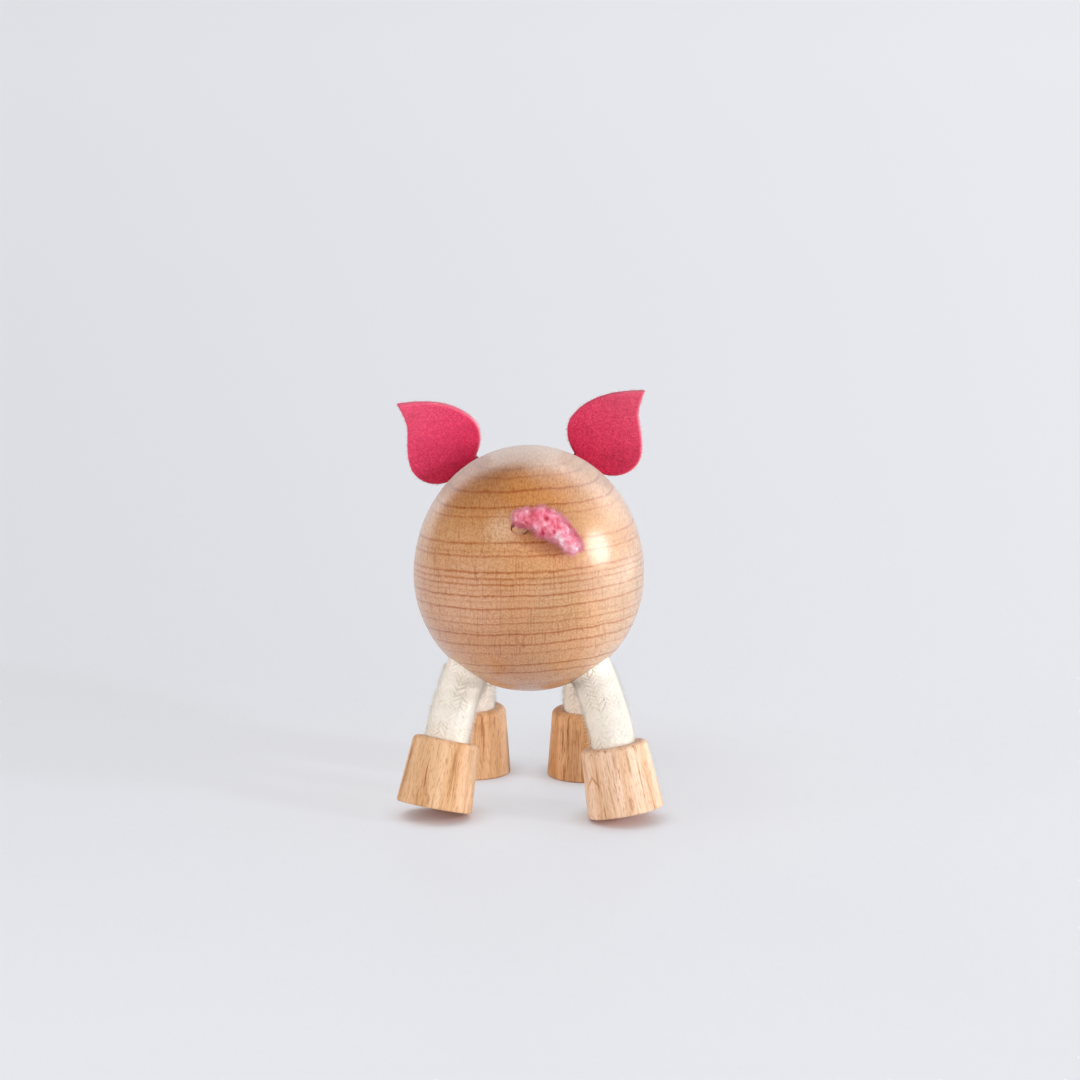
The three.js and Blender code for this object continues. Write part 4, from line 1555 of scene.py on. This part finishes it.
def make_tail_wire(finish):
    """Two thin wires twisted round each other, as the stem's core has them."""
    line = tail_line(TAIL_WIRE_INSET - TAIL_HOLE_DEPTH)
    stations = np.linspace(0, lengths_along(line)[-1], STRAND_ROWS)
    centres, _, sides, others = sampled(line, stations)
    strand = TAIL_WIRE_RADIUS / 2
    ring = rings_round(sides, others, turns_of(STRAND_SIDES))
    shapes = []
    for phase in (0, math.pi):
        twist = stations * 2 * math.pi / TWIST + phase
        middle = centres + swung(sides, others, twist) * strand * STRAND_APART
        points = (middle[:, None] + ring * strand).reshape(-1, 3)
        shapes.append((points, tube_faces(STRAND_ROWS, STRAND_SIDES)))
    points, faces = combined(shapes)
    wire = make_object("twisted_tail_wire", points, faces, finish)
    set_values(wire, "rest", points)
    sharpen(wire, 50)
    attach(wire, "tail_body")
    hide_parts("tail_wire")


def make_tail_peg(finish):
    """The plug in the tail's hole, with a broken edge; the stem's wire passes beside its middle."""
    radius = TAIL_HOLE_RADIUS - GLUE_GAP
    low, high = REST_GAP - TAIL_HOLE_DEPTH, -PEG_RECESS
    profile = [(0, low), (radius, low)]
    profile += arc((radius - PEG_EDGE, high - PEG_EDGE), PEG_EDGE, 0, 90, 5)
    profile += [(radius * 0.75, high), (0, high)]
    turn, origin = tail_frame()
    points, faces = lathe(profile, PEG_SIDES)
    shown = turned(points, turn, 0)
    angle = np.degrees(np.arctan2(shown[:, 2], shown[:, 0])) % 360
    rim = (points[:, 2] > high - 2 * PEG_EDGE) & (np.hypot(points[:, 0], points[:, 1]) > radius * 0.8)
    for middle, half in PEG_CHIPS:
        chip = rim * np.clip(1.6 - 1.6 * np.abs(angle - middle) / half, 0, 1)
        points[:, 2] -= PEG_CHIP_DEPTH * chip
        points[:, :2] *= 1 - PEG_CHIP_INWARD * chip[:, None]
    peg = make_object("plug_of_the_tail", turned(points, turn, origin), faces, finish)
    bore = TAIL_WIRE_RADIUS + GLUE_GAP
    axis = origin + TAIL_WIRE_OFFSET * turn[:, 1]
    out = turn[:, 2]
    carve(peg, [rod(axis - 2 * TAIL_HOLE_DEPTH * out, axis + TAIL_HOLE_DEPTH * out, bore, PEG_BORE_SIDES)])
    sharpen(peg, 40)
    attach(peg, "torso_body")
    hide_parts("tail_peg")


# Face
def make_snout(finish):
    back = TORSO_FLAT + REST_GAP
    profile = [(0, back)]
    profile += arc((SNOUT_RADIUS - SNOUT_EDGE, back + SNOUT_EDGE), SNOUT_EDGE, -90, 0, 6)
    profile += arc((SNOUT_RADIUS - SNOUT_ROUND, SNOUT_FACE - SNOUT_ROUND), SNOUT_ROUND, 0, 90, 14)
    profile.append((0, SNOUT_FACE))
    snout = make_turned("turned_snout", profile, SNOUT_SIDES, TURN_TO_Y, 0, finish)
    tools = [rod(*dowel_span(REST_GAP), DOWEL_RADIUS + GLUE_GAP)]
    for side in (-1, 1):
        x = side * NOSTRIL_SPACING / 2
        start, end = (x, SNOUT_FACE - NOSTRIL_DEPTH, 0), (x, SNOUT_FACE + NOSTRIL_DEPTH, 0)
        tools.append(rod(start, end, NOSTRIL_RADIUS, NOSTRIL_SIDES))
    carve(snout, tools)
    smooth(snout)
    sharpen(snout, 35)
    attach(snout, "torso_body")
    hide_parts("snout")


def make_dowel(finish):
    start = np.array(dowel_span(0)[0])
    edge = DOWEL_EDGE
    profile = [(0, 0), (DOWEL_RADIUS - edge, 0), (DOWEL_RADIUS, edge)]
    profile += [(DOWEL_RADIUS, DOWEL_LENGTH - edge), (DOWEL_RADIUS - edge, DOWEL_LENGTH), (0, DOWEL_LENGTH)]
    dowel = make_turned("dowel_of_the_snout", profile, DOWEL_SIDES, TURN_TO_Y, start, finish)
    sharpen(dowel, 30)
    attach(dowel, "torso_body")
    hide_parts("snout_dowel")


def make_eye(name, side, finish):
    profile = [(0, -EYE_SHANK_LENGTH), (EYE_SHANK_RADIUS, -EYE_SHANK_LENGTH), (EYE_SHANK_RADIUS, REST_GAP)]
    for turn in np.linspace(0, math.pi / 2, EYE_ROWS):
        profile.append((EYE_RADIUS * math.cos(turn), REST_GAP + EYE_HEIGHT * math.sin(turn)))
    profile[-1] = (0, profile[-1][1])
    place, normal = on_torso(TORSO_FLAT - EYE_SETBACK, side * EYE_ANGLE)
    turn, origin = frame_along(place, normal, (0, 1, 0))
    eye = make_turned(f"{name}_eye_peg", profile, EYE_SIDES, turn, origin, finish)
    sharpen(eye, 40)
    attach(eye, "torso_body")
    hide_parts(f"{name}_eye")


# Stage and light
def make_floor(finish):
    half = FLOOR_HALF
    corners = [(-half, -half, 0), (half, -half, 0), (half, half, 0), (-half, half, 0)]
    floor = make_object("floor", corners, [(0, 1, 2, 3)], finish, place=np.zeros(3))


def softbox(
    name, direction, distance, size, level, colour=(1, 1, 1), diffuse=True, glossy=True, spread=180,
):
    """A round or long lamp; level is the share of full white that it gives a surface facing it."""
    data = bpy.data.lights.new(name, "AREA")
    data.shape = "ELLIPSE"
    data.size, data.size_y = (side * MM for side in size)
    data.energy = level * (math.pi * distance * MM) ** 2
    if spread < 180:
        half = math.radians(spread / 2)
        data.spread = 2 * half
        data.energy *= 1 - half / math.tan(half)
    data.color = colour
    lamp = bpy.data.objects.new(name, data)
    back = Vector(unit(direction))
    lamp.location = placed((0, 0, 0)) + back * distance * MM
    lamp.rotation_mode = "QUATERNION"
    lamp.rotation_quaternion = back.to_track_quat("Z", "Y")
    lamp.visible_camera = False
    lamp.visible_diffuse = diffuse
    lamp.visible_glossy = glossy
    bpy.context.scene.collection.objects.link(lamp)


def make_world():
    """A bright surround near the horizon, lower on the left, and a dim room above it."""
    world = bpy.data.worlds.new("room")
    bpy.context.scene.world = world
    world.use_nodes = True
    nodes = Nodes(world.node_tree)
    parts = nodes.add("SeparateXYZ", {0: nodes.add("TexCoord").outputs["Generated"]}).outputs
    height = nodes.maths("MULTIPLY_ADD", nodes.maths("MINIMUM", parts["X"], 0), ROOM_SLANT, parts["Z"])
    surround = nodes.ramp(height, [(spot, grey(level)) for spot, level in ROOM_LEVELS])
    nodes.fill(world.node_tree.nodes["Background"].inputs["Color"], surround)
    bpy.context.scene.view_settings.view_transform = "Standard"


def make_light():
    make_world()
    softbox("key", (0.852, -0.397, 0.342), 4000, (440, 440), 0.42, colour=(0.9, 1.0, 1.12), glossy=False)
    softbox("side", (0.97, -0.15, 0.02), 1500, (300, 60), 0.56, glossy=False, spread=20)
    softbox("fill", (-0.93, -0.33, 0.14), 4000, (2600, 1000), 0.50, glossy=False)
    softbox("front", (0.42, -0.9, 0.1), 3000, (2000, 500), 0.2, glossy=False)
    softbox("overhead", (-0.3, -0.1, 0.95), 3000, (2100, 2100), 0.38, glossy=False)
    softbox("glint", (0.85, 0.22, 0.41), 900, (400, 400), 0.54, diffuse=False)
    softbox("glow", (0.42, 0.75, 0.52), 900, (900, 700), 0.15, diffuse=False)
    softbox("card", (0.90, 0.42, -0.04), 300, (260, 60), 0.07, diffuse=False)


make_camera()
make_floor(floor_surface())
make_light()

peg_finish = plain_wood()
cotton_finish = cotton()
steel_finish = steel()
make_torso(torso_wood())
for number, (foot_name, foot_sizes) in enumerate(FEET.items()):
    make_foot(foot_name, foot_sizes, foot_wood(foot_name, number + 1))
    make_cord(foot_name, foot_sizes, cotton_finish, number + 1)
    make_wire(foot_name, foot_sizes, steel_finish)
for number, (ear_name, ear_sizes) in enumerate(EARS.items()):
    tint = np.array(EAR_TINTS[ear_name])
    felt_finish = felt(f"{ear_name}_felt", tuple(tint))
    fuzz_finish = felt(f"{ear_name}_felt_hairs", tuple(tint + FUZZ_PALER))
    make_ear(ear_name, ear_sizes, felt_finish, fuzz_finish, number + 1)
make_tail_peg(peg_finish)
make_tail(chenille("chenille_pile", 0.05), chenille("chenille_hairs", 0.5))
make_tail_wire(steel_finish)
make_snout(stained_wood())
make_dowel(peg_finish)
black_finish = black_paint()
for eye_name, eye_side in (("left", -1), ("right", 1)):
    make_eye(eye_name, eye_side, black_finish)
